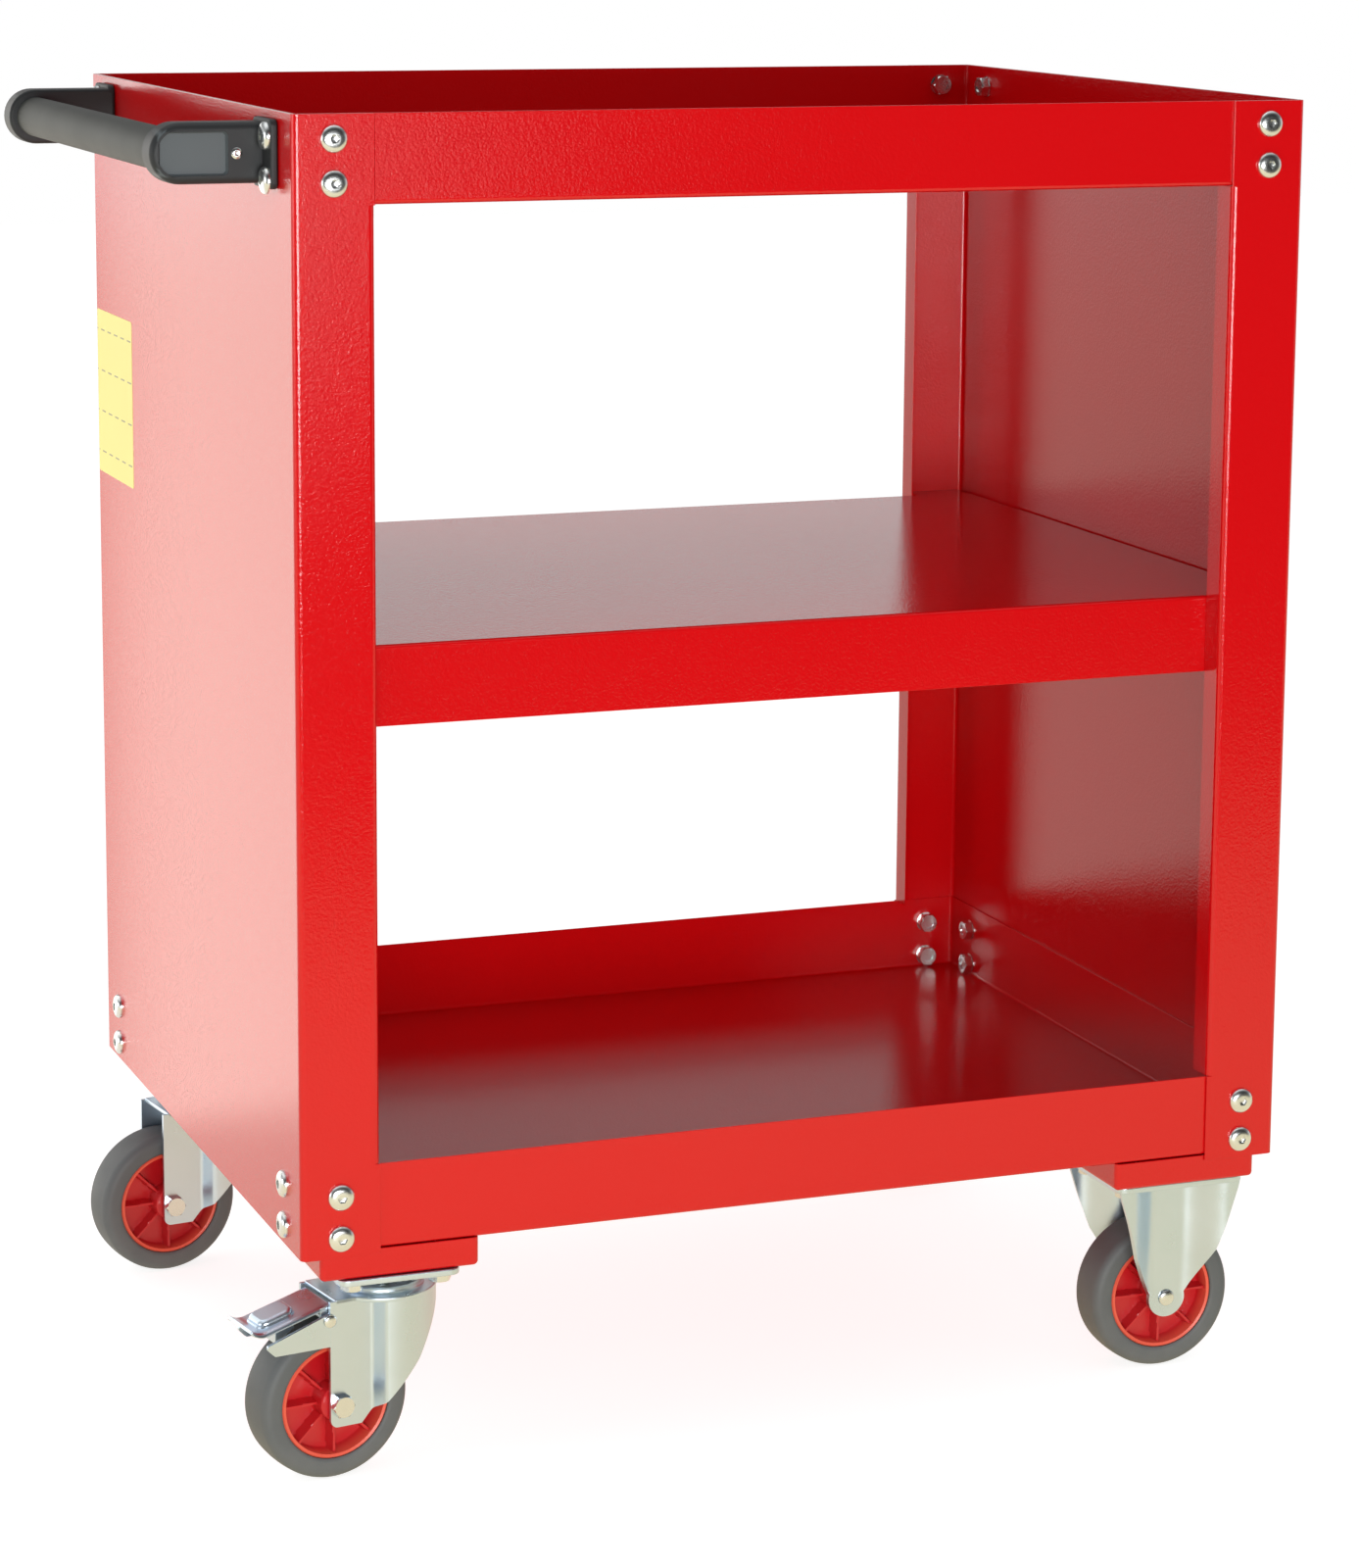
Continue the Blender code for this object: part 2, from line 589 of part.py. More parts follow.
def middle_shelf():
    """Make the middle shelf: a flat top with skirts turned down and ears that reach into the posts."""
    bottom = SHELF_TOP - SHELF_SKIRT
    skirt_y = LIP_END_Y - GAP
    shoulder_y = skirt_y - SHELF_BEND
    shoulder_z = SHELF_TOP - SHELF_BEND
    section = [(-skirt_y, bottom), (skirt_y, bottom)]
    section += arc(shoulder_y, shoulder_z, SHELF_BEND, 0, pi / 2, BEND_STEPS)
    section += arc(-shoulder_y, shoulder_z, SHELF_BEND, pi / 2, pi, BEND_STEPS)
    bm = bmesh.new()
    add_prism(bm, section, AXIS_X, -TRAY_HALF_X, TRAY_HALF_X)
    made = place("middle_shelf", bm, paint())
    hollow = bmesh.new()
    add_box(hollow, (-TRAY_HALF_X + TRAY_SHEET, -skirt_y + TRAY_SHEET, bottom - TRAY_SHEET),
            (TRAY_HALF_X - TRAY_SHEET, skirt_y - TRAY_SHEET, SHELF_TOP - TRAY_SHEET))
    subtract(made, hollow)
    ears = bmesh.new()
    for sx in (-1, 1):
        for sy in (-1, 1):
            xs = sorted((sx * (LIP_FACE_X + PANEL_BEND), sx * (PANEL_OUTER_X - PANEL_BEND)))
            ys = sorted((sy * (skirt_y - 2 * SHELF_BEND), sy * TRAY_HALF_Y))
            add_box(ears, (xs[0], ys[0], SHELF_TOP - TRAY_SHEET + EAR_INSET),
                    (xs[1], ys[1], SHELF_TOP - EAR_INSET))
    unite(made, ears)


def caster_beams():
    """Make the two closed-ended channels that carry the castors."""
    for name, side in (("left_caster_beam", -1), ("right_caster_beam", 1)):
        made = pan(name, BEAM_WIDTH / 2, TRAY_HALF_Y, BEAM_BOTTOM, BOTTOM_TRAY_BOTTOM - GAP,
                   BEAM_SHEET, BEAM_BEND)
        made.data.transform(Matrix.Translation((side * CASTER_X, 0, 0)))
        hole_x, hole_y = plate_holes(side)
        holes = bmesh.new()
        for x, y in hole_centres(side, hole_x, hole_y):
            add_rod(holes, BOLT_HOLE_RADIUS, AXIS_Z, (x, y, 0), BEAM_BOTTOM - CUT_PAST,
                    BEAM_BOTTOM + CUT_PAST, SMALL_STEPS)
        subtract(made, holes)


def plate_holes(side):
    """Return the hole spacing of the swivel plates on the left and the fixed plates on the right."""
    return (SWIVEL_HOLE_X, SWIVEL_HOLE_Y) if side < 0 else (FIXED_HOLE_X, FIXED_HOLE_Y)


def hole_centres(side, hole_x, hole_y, rows=(-1, 1)):
    """List the castor screw positions under one beam."""
    return [(side * CASTER_X + sx * hole_x / 2, row * CASTER_Y + sy * hole_y / 2)
            for row in rows for sx in (-1, 1) for sy in (-1, 1)]


def caster_screws(name, side, row):
    """Make the four screws of one castor with the tapped plate inside the beam that they screw into."""
    seat = BEAM_BOTTOM + BEAM_SHEET + GAP
    hole_x, hole_y = plate_holes(side)
    half_x = hole_x / 2 + SCREW_PLATE_MARGIN
    half_y = hole_y / 2 + SCREW_PLATE_MARGIN
    x, y = side * CASTER_X, row * CASTER_Y
    bm = bmesh.new()
    add_box(bm, (x - half_x, y - half_y, seat), (x + half_x, y + half_y, seat + SCREW_PLATE_THICKNESS))
    made = place(name, bm, zinc())
    screws = bmesh.new()
    for spot_x, spot_y in hole_centres(side, hole_x, hole_y, (row,)):
        add_hex_screw(screws, AXIS_Z, -1, (spot_x, spot_y, 0), PLATE_BOTTOM, seat + SCREW_PLATE_THICKNESS / 2,
                      SCREW_HEAD_RADIUS, SCREW_HEAD_HEIGHT, BOLT_RADIUS)
    unite(made, screws)


# Push handle

def handle_bracket(name, side):
    """Make one moulded handle bracket: flange on the panel, arm, round end, recess and grip socket."""
    half = BRACKET_HALF_HEIGHT
    outline = arc(GRIP_X, HANDLE_Z, half, pi / 2, 3 * pi / 2, BRACKET_STEPS)
    outline += [(HANDLE_ROOT_X, HANDLE_Z - half), (HANDLE_ROOT_X, HANDLE_Z + half)]
    bm = bmesh.new()
    add_prism(bm, outline, AXIS_Y, *sorted((side * BRACKET_INNER_Y, side * BRACKET_OUTER_Y)))
    made = place(name, bm, (BLACK, 0.45, 0.0))
    flange = bmesh.new()
    flange_y = side * (SIDE_BOLT_Y + BOLT_HEAD_RADIUS + FLANGE_EDGE - FLANGE_WIDTH / 2)
    plate = rounded_rectangle(FLANGE_WIDTH / 2, FLANGE_HEIGHT / 2, BRACKET_CORNER, BEND_STEPS, (flange_y, HANDLE_Z))
    add_prism(flange, plate, AXIS_X, HANDLE_ROOT_X - FLANGE_THICKNESS, HANDLE_ROOT_X)
    unite(made, flange)
    past_y = side * (BRACKET_OUTER_Y + CUT_PAST)
    recess = bmesh.new()
    recess_x = HANDLE_END_X + RECESS_FROM_END + RECESS_LENGTH / 2
    pocket = rounded_rectangle(RECESS_LENGTH / 2, RECESS_HEIGHT / 2, BRACKET_CORNER, BEND_STEPS,
                               (recess_x, HANDLE_Z))
    add_prism(recess, pocket, AXIS_Y, *sorted((side * (BRACKET_OUTER_Y - RECESS_DEPTH), past_y)))
    subtract(made, recess)
    socket = bmesh.new()
    socket_end = side * (BRACKET_INNER_Y + GRIP_SOCKET_DEPTH)
    add_rod(socket, GRIP_RADIUS + GRIP_SOCKET_CLEARANCE, AXIS_Y, (GRIP_X, 0, HANDLE_Z),
            *sorted((side * (BRACKET_INNER_Y - CUT_PAST), socket_end)))
    subtract(made, socket)
    holes = bmesh.new()
    for z in TOP_BOLT_HEIGHTS:
        add_rod(holes, BOLT_HOLE_RADIUS, AXIS_X, (0, side * SIDE_BOLT_Y, z),
                HANDLE_ROOT_X - CUT_PAST, HANDLE_ROOT_X + CUT_PAST, SMALL_STEPS)
    screw_end = side * (BRACKET_OUTER_Y - NECK_SCREW_LENGTH - GAP)
    add_rod(holes, NECK_SCREW_RADIUS + GAP, AXIS_Y, (NECK_SCREW_X, 0, HANDLE_Z),
            *sorted((screw_end, past_y)), SMALL_STEPS)
    subtract(made, holes)


def neck_screw(name, side):
    """Make the small screw in the side of one handle bracket."""
    seat = side * (BRACKET_OUTER_Y + GAP)
    tip = side * (BRACKET_OUTER_Y - NECK_SCREW_LENGTH)
    top = seat + side * NECK_SCREW_HEAD_HEIGHT
    profile = [
        (0, tip),
        (NECK_SCREW_RADIUS, tip),
        (NECK_SCREW_RADIUS, seat),
        (NECK_SCREW_HEAD_RADIUS, seat),
        (NECK_SCREW_HEAD_RADIUS * BOLT_EDGE_RATIO, top),
        (0, top),
    ]
    bm = bmesh.new()
    add_turned(bm, profile, AXIS_Y, (NECK_SCREW_X, 0, HANDLE_Z), SMALL_STEPS)
    place(name, bm, zinc())


def handle():
    """Make the push handle: two brackets with their neck screws, and the grip between them."""
    for end, side in (("front", -1), ("rear", 1)):
        handle_bracket("handle_bracket_" + end, side)
        neck_screw("handle_neck_screw_" + end, side)
    reach = BRACKET_INNER_Y + GRIP_SOCKET_DEPTH - GAP
    inner = GRIP_RADIUS - GRIP_WALL
    grip = bmesh.new()
    add_turned(grip, [(inner, -reach), (GRIP_RADIUS, -reach), (GRIP_RADIUS, reach), (inner, reach)],
               AXIS_Y, (GRIP_X, 0, HANDLE_Z))
    place("handle_grip_tube", grip, (GRIP_GREY, 0.4, 0.0))


# Wheels, shared by all four castors

def add_tyre(bm, centre):
    """Add a solid tyre with round shoulders, turned about Y, whose lowest flat stands on the floor."""
    half = TYRE_WIDTH / 2
    seat = RIM_RADIUS + GAP
    level = half - TYRE_SHOULDER
    tread = WHEEL_RADIUS / cos(pi / TYRE_STEPS)
    wall = tread - TYRE_SHOULDER
    shoulder = [(wall + TYRE_SHOULDER * sin(a), level + TYRE_SHOULDER * cos(a)) for a in (0, pi / 4, pi / 2)]
    profile = [(seat, -half)] + [(radius, -w) for radius, w in shoulder]
    profile += shoulder[::-1] + [(seat, half)]
    add_turned(bm, profile, AXIS_Y, centre, TYRE_STEPS)


def hub_section(web_half):
    """Return the hub's section as (radius, along): bore, boss, web or rib, and rim."""
    boss_radius = HUB_BORE_RADIUS + HUB_BOSS_WALL
    inner_rim = RIM_RADIUS - RIM_THICKNESS
    rim = TYRE_WIDTH / 2 - RIM_INSET
    near = [(HUB_BORE_RADIUS, -HUB_BOSS_HALF), (boss_radius, -HUB_BOSS_HALF), (boss_radius, -web_half),
            (inner_rim, -web_half), (inner_rim, -rim), (RIM_RADIUS, -rim)]
    far = [(radius, -w) for radius, w in reversed(near)]
    return near + far


def add_hub(bm, centre):
    """Add a moulded hub: rim, boss and a thin web with radial ribs on both faces."""
    crest = RIB_WIDTH / RIM_RADIUS
    foot = crest * RIB_DRAFT
    stations = []
    for i in range(RIB_COUNT):
        middle = 2 * pi * i / RIB_COUNT
        stations += [(middle - foot, False), (middle - crest, True), (middle + crest, True), (middle + foot, False)]
        stations.append((middle + pi / RIB_COUNT, False))
    web = hub_section(WEB_THICKNESS / 2)
    rib = hub_section(TYRE_WIDTH / 2 - RIM_INSET - RIB_RECESS)
    rings = []
    for angle, raised in stations:
        section = rib if raised else web
        rings.append([bm.verts.new(Vector(centre) + Vector((r * cos(angle), w, r * sin(angle))))
                      for r, w in section])
    count = len(web)
    for ring, following in zip(rings, rings[1:] + rings[:1]):
        for i in range(count):
            j = (i + 1) % count
            bm.faces.new((ring[i], ring[j], following[j], following[i]))


def wheel(prefix, matrix, axle):
    """Make a tyre, hub and axle sleeve for one castor; axle is the wheel centre before the matrix."""
    parts = []
    tyre = bmesh.new()
    add_tyre(tyre, axle)
    parts.append(place(prefix + "_tyre", tyre, (TYRE_GREY, 0.6, 0.0)))
    hub = bmesh.new()
    add_hub(hub, axle)
    parts.append(place(prefix + "_hub", hub, (HUB_RED, 0.35, 0.0)))
    half = FORK_INNER_Y - GAP
    sleeve = bmesh.new()
    add_turned(sleeve, [(SLEEVE_BORE_RADIUS, -half), (SLEEVE_RADIUS, -half), (SLEEVE_RADIUS, half),
                        (SLEEVE_BORE_RADIUS, half)], AXIS_Y, axle, PIN_STEPS)
    parts.append(place(prefix + "_axle_sleeve", sleeve, zinc()))
    set_in_place(parts, matrix, axle)


def set_in_place(parts, matrix, origin):
    """Give objects built about the castor axis their origin and their place on the cart."""
    for part in parts:
        part.data.transform(Matrix.Translation(-Vector(origin)))
        part.matrix_world = matrix @ Matrix.Translation(Vector(origin))


# Fixed castors

def leg_half_width(z):
    """Return half the width of a fixed fork's leg at height z: a round end, then two straight flanks."""
    rise = z - WHEEL_RADIUS
    flank_start = FIXED_LEG_END_RADIUS / 4
    if rise < flank_start:
        return sqrt(FIXED_LEG_END_RADIUS ** 2 - rise ** 2)
    low = sqrt(FIXED_LEG_END_RADIUS ** 2 - flank_start ** 2)
    if rise < FLANK_RISE:
        return low + (FLANK_HALF - low) * (rise - flank_start) / (FLANK_RISE - flank_start)
    top = FIXED_PLATE_X / 2 - LEG_TOP_INSET
    return FLANK_HALF + (top - FLANK_HALF) * (rise - FLANK_RISE) / (PLATE_TOP - WHEEL_RADIUS - FLANK_RISE)


def wing(x):
    """Return how far a fixed fork's leg curves outwards at a distance x from its middle."""
    share = min(max((abs(x) - WING_START) / (WING_END - WING_START), 0.0), 1.0)
    return WING_FLARE * share * share * (3 - 2 * share)


def add_fixed_leg(bm, side):
    """Add one leg of a fixed fork: a pressed sheet, flat in the middle, whose sides curve outwards."""
    top = PLATE_BOTTOM + PLATE_THICKNESS / 2
    heights = [WHEEL_RADIUS + FIXED_LEG_END_RADIUS * share for share in LEG_END_SHARES]
    flank_top = WHEEL_RADIUS + FLANK_RISE
    heights += [(heights[-1] + flank_top) / 2, flank_top, (flank_top + top) / 2, top]
    outer_rows = []
    inner_rows = []
    for z in heights:
        stations = [leg_half_width(z) * share for share in (-1.0, -0.75, -0.5, -0.25, 0.25, 0.5, 0.75, 1.0)]
        outer_rows.append([bm.verts.new((x, side * (FORK_OUTER_Y + wing(x)), z)) for x in stations])
        inner_rows.append([bm.verts.new((x, side * (FORK_INNER_Y + wing(x)), z)) for x in stations])
    last = len(heights) - 1
    end = len(outer_rows[0]) - 1
    for r in range(last):
        for rows in (outer_rows, inner_rows):
            for c in range(end):
                bm.faces.new((rows[r][c], rows[r][c + 1], rows[r + 1][c + 1], rows[r + 1][c]))
        for c in (0, end):
            bm.faces.new((outer_rows[r][c], outer_rows[r + 1][c], inner_rows[r + 1][c], inner_rows[r][c]))
    for r in (0, last):
        for c in range(end):
            bm.faces.new((outer_rows[r][c], outer_rows[r][c + 1], inner_rows[r][c + 1], inner_rows[r][c]))
    bmesh.ops.recalc_face_normals(bm, faces=bm.faces[:])


def caster_plate(name, half_x, half_y, hole_x, hole_y):
    """Make a top plate about the castor axis, with its four screw holes."""
    bm = bmesh.new()
    add_prism(bm, rounded_rectangle(half_x, half_y, PLATE_CORNER), AXIS_Z, PLATE_BOTTOM, PLATE_TOP)
    made = place(name, bm, zinc())
    holes = bmesh.new()
    for sx in (-1, 1):
        for sy in (-1, 1):
            add_rod(holes, BOLT_HOLE_RADIUS, AXIS_Z, (sx * hole_x / 2, sy * hole_y / 2, 0),
                    PLATE_BOTTOM - CUT_PAST, PLATE_TOP + CUT_PAST, SMALL_STEPS)
    subtract(made, holes)
    return made


def fixed_caster(prefix, row):
    """Make one fixed castor: pressed fork with its plate, wheel and riveted axle."""
    matrix = Matrix.Translation((CASTER_X, row * CASTER_Y, 0))
    axle = (0, 0, WHEEL_RADIUS)
    fork = caster_plate(prefix + "_fork", FIXED_PLATE_X / 2, FIXED_PLATE_Y / 2, FIXED_HOLE_X, FIXED_HOLE_Y)
    for side in (-1, 1):
        leg = bmesh.new()
        add_fixed_leg(leg, side)
        unite(fork, leg)
    bore = bmesh.new()
    add_rod(bore, AXLE_RADIUS + GAP, AXIS_Y, axle, -2 * FORK_OUTER_Y, 2 * FORK_OUTER_Y, PIN_STEPS)
    subtract(fork, bore)
    set_in_place([fork], matrix, (0, 0, PLATE_TOP))
    wheel(prefix, matrix, axle)
    rivet = bmesh.new()
    seat = FORK_OUTER_Y + GAP
    half_profile = [(AXLE_RADIUS, seat), (RIVET_HEAD_RADIUS, seat),
                    (RIVET_HEAD_RADIUS * BOLT_EDGE_RATIO, seat + RIVET_HEAD_HEIGHT), (0, seat + RIVET_HEAD_HEIGHT)]
    profile = [(radius, -w) for radius, w in reversed(half_profile)] + half_profile
    add_turned(rivet, profile, AXIS_Y, axle, PIN_STEPS)
    set_in_place([place(prefix + "_axle_rivet", rivet, zinc())], matrix, axle)
    caster_screws(prefix + "_caster_screws", 1, row)


# Swivel castors

def swivel_leg_foot(x):
    """Return the height of the swivel fork's lower edge at a distance x from the swivel axis."""
    rise_start = -TRAIL + LEG_END_RADIUS
    foot = WHEEL_RADIUS - LEG_END_RADIUS
    knee_z = WHEEL_RADIUS + KNEE_RISE
    if x <= rise_start:
        return foot
    if x <= KNEE_X:
        return foot + (knee_z - foot) * (x - rise_start) / (KNEE_X - rise_start)
    return knee_z + (CROWN_BOTTOM - GAP - knee_z) * (x - KNEE_X) / (HEAD_RADIUS - KNEE_X)


def fork_path():
    """Return the plan of the swivel fork's wall as (outer point, inner point) pairs, leg end to leg end."""
    wall = HEAD_RADIUS - GAP
    step_x = -wall / 3
    flat_x = step_x - 2 * FORK_SHEET
    rear_x = -TRAIL - LEG_REAR
    foot_x = -TRAIL + LEG_END_RADIUS
    step_angle = atan2(-sqrt(wall ** 2 - step_x ** 2), step_x)
    half = [(rear_x, -FORK_OUTER_Y, rear_x, -FORK_INNER_Y),
            (foot_x, -FORK_OUTER_Y, foot_x, -FORK_INNER_Y),
            (flat_x, -FORK_OUTER_Y, flat_x + FORK_SHEET, -FORK_INNER_Y)]
    for i in range(WRAP_STEPS):
        angle = step_angle * (1 - i / WRAP_STEPS)
        half.append((wall * cos(angle), wall * sin(angle),
                     (wall - FORK_SHEET) * cos(angle), (wall - FORK_SHEET) * sin(angle)))
    mirrored = [(a, -b, c, -d) for a, b, c, d in reversed(half)]
    return half + [(wall, 0.0, wall - FORK_SHEET, 0.0)] + mirrored


def add_fork_wall(bm):
    """Add the swivel fork's pressed wall: two flat legs joined round the front of the head."""
    top = CROWN_TOP - CROWN_THICKNESS / 2
    rings = []
    for ox, oy, ix, iy in fork_path():
        foot = swivel_leg_foot(ox)
        rings.append([bm.verts.new(p) for p in ((ox, oy, foot), (ox, oy, top), (ix, iy, top), (ix, iy, foot))])
    for ring, following in zip(rings, rings[1:]):
        for i in range(4):
            j = (i + 1) % 4
            bm.faces.new((ring[i], ring[j], following[j], following[i]))
    bm.faces.new(rings[0][::-1])
    bm.faces.new(rings[-1])
    bmesh.ops.recalc_face_normals(bm, faces=bm.faces[:])


def crown_outline():
    """Return the plan of the fork's crown: round in front, square towards the wheel."""
    rear_x = -TRAIL - LEG_REAR / 2
    meet = pi - atan2(FORK_OUTER_Y, sqrt(HEAD_RADIUS ** 2 - FORK_OUTER_Y ** 2))
    return [(rear_x, FORK_OUTER_Y), (rear_x, -FORK_OUTER_Y)] + arc(0, 0, HEAD_RADIUS, -meet, meet, 2 * WRAP_STEPS)


def add_brake_arm(bm, side):
    """Add one of the arms that carry the brake pedal, from the head out over the top of the wheel."""
    neck_x = -TRAIL / 2
    tip_x = -TRAIL - WHEEL_RADIUS
    lower = 2 * WHEEL_RADIUS - ARM_LAP
    outline = [
        (neck_x, CROWN_BOTTOM - GAP),
        (-TRAIL, CROWN_BOTTOM - CROWN_THICKNESS),
        (tip_x, lower + ARM_TIP_RISE),
        (tip_x + ARM_TIP_RISE, lower),
        (-TRAIL - LEG_REAR, lower - GAP),
        (neck_x, lower - ARM_ROOT_DEPTH),
    ]
    ys = sorted((side * (FORK_INNER_Y + ARM_INSET), side * (FORK_OUTER_Y - ARM_INSET)))
    add_prism(bm, outline[::-1], AXIS_Y, *ys)


def swivel_caster(prefix, row, turn, braked):
    """Make one swivel castor, standing turned about its kingpin."""
    still = Matrix.Translation((-CASTER_X, row * CASTER_Y, 0))
    turned = still @ Matrix.Rotation(turn, 4, "Z")
    axle = (-TRAIL, 0, WHEEL_RADIUS)
    plate = caster_plate(prefix + "_plate", SWIVEL_PLATE_X / 2, SWIVEL_PLATE_Y / 2, SWIVEL_HOLE_X, SWIVEL_HOLE_Y)
    race = bmesh.new()
    add_rod(race, RACE_RADIUS, AXIS_Z, (0, 0, 0), UPPER_RACE_BOTTOM, PLATE_BOTTOM + PLATE_THICKNESS / 2)
    unite(plate, race)
    pin_hole = bmesh.new()
    add_rod(pin_hole, KINGPIN_RADIUS + GAP, AXIS_Z, (0, 0, 0), UPPER_RACE_BOTTOM - CUT_PAST,
            PLATE_TOP + CUT_PAST, PIN_STEPS)
    subtract(plate, pin_hole)
    kingpin = bmesh.new()
    head_top = CROWN_BOTTOM - KINGPIN_RUNNING_CLEARANCE
    head_bottom = head_top - KINGPIN_HEAD_HEIGHT
    add_turned(kingpin, [(0, head_bottom), (KINGPIN_HEAD_RADIUS, head_bottom), (KINGPIN_HEAD_RADIUS, head_top),
                         (KINGPIN_RADIUS, head_top), (KINGPIN_RADIUS, PLATE_TOP - GAP), (0, PLATE_TOP - GAP)],
               AXIS_Z, (0, 0, 0), PIN_STEPS)
    pin = place(prefix + "_kingpin", kingpin, zinc())
    set_in_place([plate, pin], still, (0, 0, PLATE_TOP))
    bearing = ball_bearing(prefix)
    fork = swivel_fork(prefix, axle, braked)
    set_in_place([fork, bearing], turned, (0, 0, CROWN_TOP))
    wheel(prefix, turned, axle)
    axle_bolt(prefix, turned, axle)
    caster_screws(prefix + "_caster_screws", -1, row)
    if braked:
        brake(prefix, turned)


def ball_bearing(prefix):
    """Make the swivel head's caged ball ring as one turned ring of the balls' section."""
    middle = (RACE_TOP + UPPER_RACE_BOTTOM) / 2
    section = [(BALL_CIRCLE_RADIUS + BALL_RADIUS * cos(a), middle + BALL_RADIUS * sin(a))
               for a in (2 * pi * i / BALL_SIDES for i in range(BALL_SIDES))]
    bm = bmesh.new()
    add_turned(bm, section, AXIS_Z, (0, 0, 0))
    return place(prefix + "_swivel_bearing", bm, (ZINC, 0.15, 1.0))


def swivel_fork(prefix, axle, braked):
    """Make the swivel fork: crown, lower race and wall, with arms for the brake if it has one."""
    bm = bmesh.new()
    add_prism(bm, crown_outline(), AXIS_Z, CROWN_BOTTOM, CROWN_TOP)
    fork = place(prefix + "_fork", bm, zinc())
    wall = bmesh.new()
    add_fork_wall(wall)
    unite(fork, wall)
    race = bmesh.new()
    add_rod(race, RACE_RADIUS, AXIS_Z, (0, 0, 0), CROWN_TOP - CROWN_THICKNESS / 2, RACE_TOP)
    unite(fork, race)
    bores = bmesh.new()
    add_rod(bores, KINGPIN_RADIUS + KINGPIN_RUNNING_CLEARANCE, AXIS_Z, (0, 0, 0),
            CROWN_BOTTOM - CUT_PAST, RACE_TOP + CUT_PAST, PIN_STEPS)
    add_rod(bores, AXLE_RADIUS + GAP, AXIS_Y, axle, -2 * FORK_OUTER_Y, 2 * FORK_OUTER_Y, PIN_STEPS)
    if braked:
        for side in (-1, 1):
            arm = bmesh.new()
            add_brake_arm(arm, side)
            unite(fork, arm)
        add_rod(bores, BRAKE_PIN_RADIUS + GAP, AXIS_Y, (BRAKE_PIN_X, 0, BRAKE_PIN_Z),
                -2 * FORK_OUTER_Y, 2 * FORK_OUTER_Y, SMALL_STEPS)
    subtract(fork, bores)
    return fork


def axle_bolt(prefix, matrix, axle):
    """Make the axle bolt, head to the front, with its nut screwed on behind the far leg."""
    seat = FORK_OUTER_Y + GAP
    nut_end = seat + AXLE_NUT_HEIGHT
    thread_end = nut_end + AXLE_THREAD_END
    profile = [
        (0, -seat - AXLE_HEAD_HEIGHT),
        (AXLE_HEAD_RADIUS, -seat - AXLE_HEAD_HEIGHT),
        (AXLE_HEAD_RADIUS, -seat),
        (AXLE_RADIUS, -seat),
        (AXLE_RADIUS, seat),
        (AXLE_HEAD_RADIUS, seat),
        (AXLE_HEAD_RADIUS, nut_end),
        (AXLE_THREAD_RADIUS, nut_end),
        (AXLE_THREAD_RADIUS, thread_end),
        (0, thread_end),
    ]
    bm = bmesh.new()
    add_turned(bm, profile, AXIS_Y, axle, 6, phase=0.0)
    set_in_place([place(prefix + "_axle_bolt", bm, zinc())], matrix, axle)


# Brake

def pedal_top(x):
    """Return the height of the pedal's top face at a distance x from the swivel axis."""
    share = (x - PEDAL_INNER_X) / (PEDAL_OUTER_X - PEDAL_INNER_X)
    return PEDAL_INNER_Z + (PEDAL_OUTER_Z - PEDAL_INNER_Z) * share


def add_shoe(bm):
    """Add the shoe under the pedal, its face square to the line from the axle."""
    outward = (-cos(SHOE_ANGLE), sin(SHOE_ANGLE))
    tangent = (sin(SHOE_ANGLE), cos(SHOE_ANGLE))
    reach = WHEEL_RADIUS + SHOE_REST_GAP
    face = [(-TRAIL + reach * outward[0] + s * SHOE_HALF_LENGTH * tangent[0],
             WHEEL_RADIUS + reach * outward[1] + s * SHOE_HALF_LENGTH * tangent[1]) for s in (-1, 1)]
    roof = [(x, pedal_top(x) - PEDAL_SHEET / 2) for x, _ in reversed(face)]
    add_prism(bm, face + roof, AXIS_Y, -SHOE_WIDTH / 2, SHOE_WIDTH / 2)


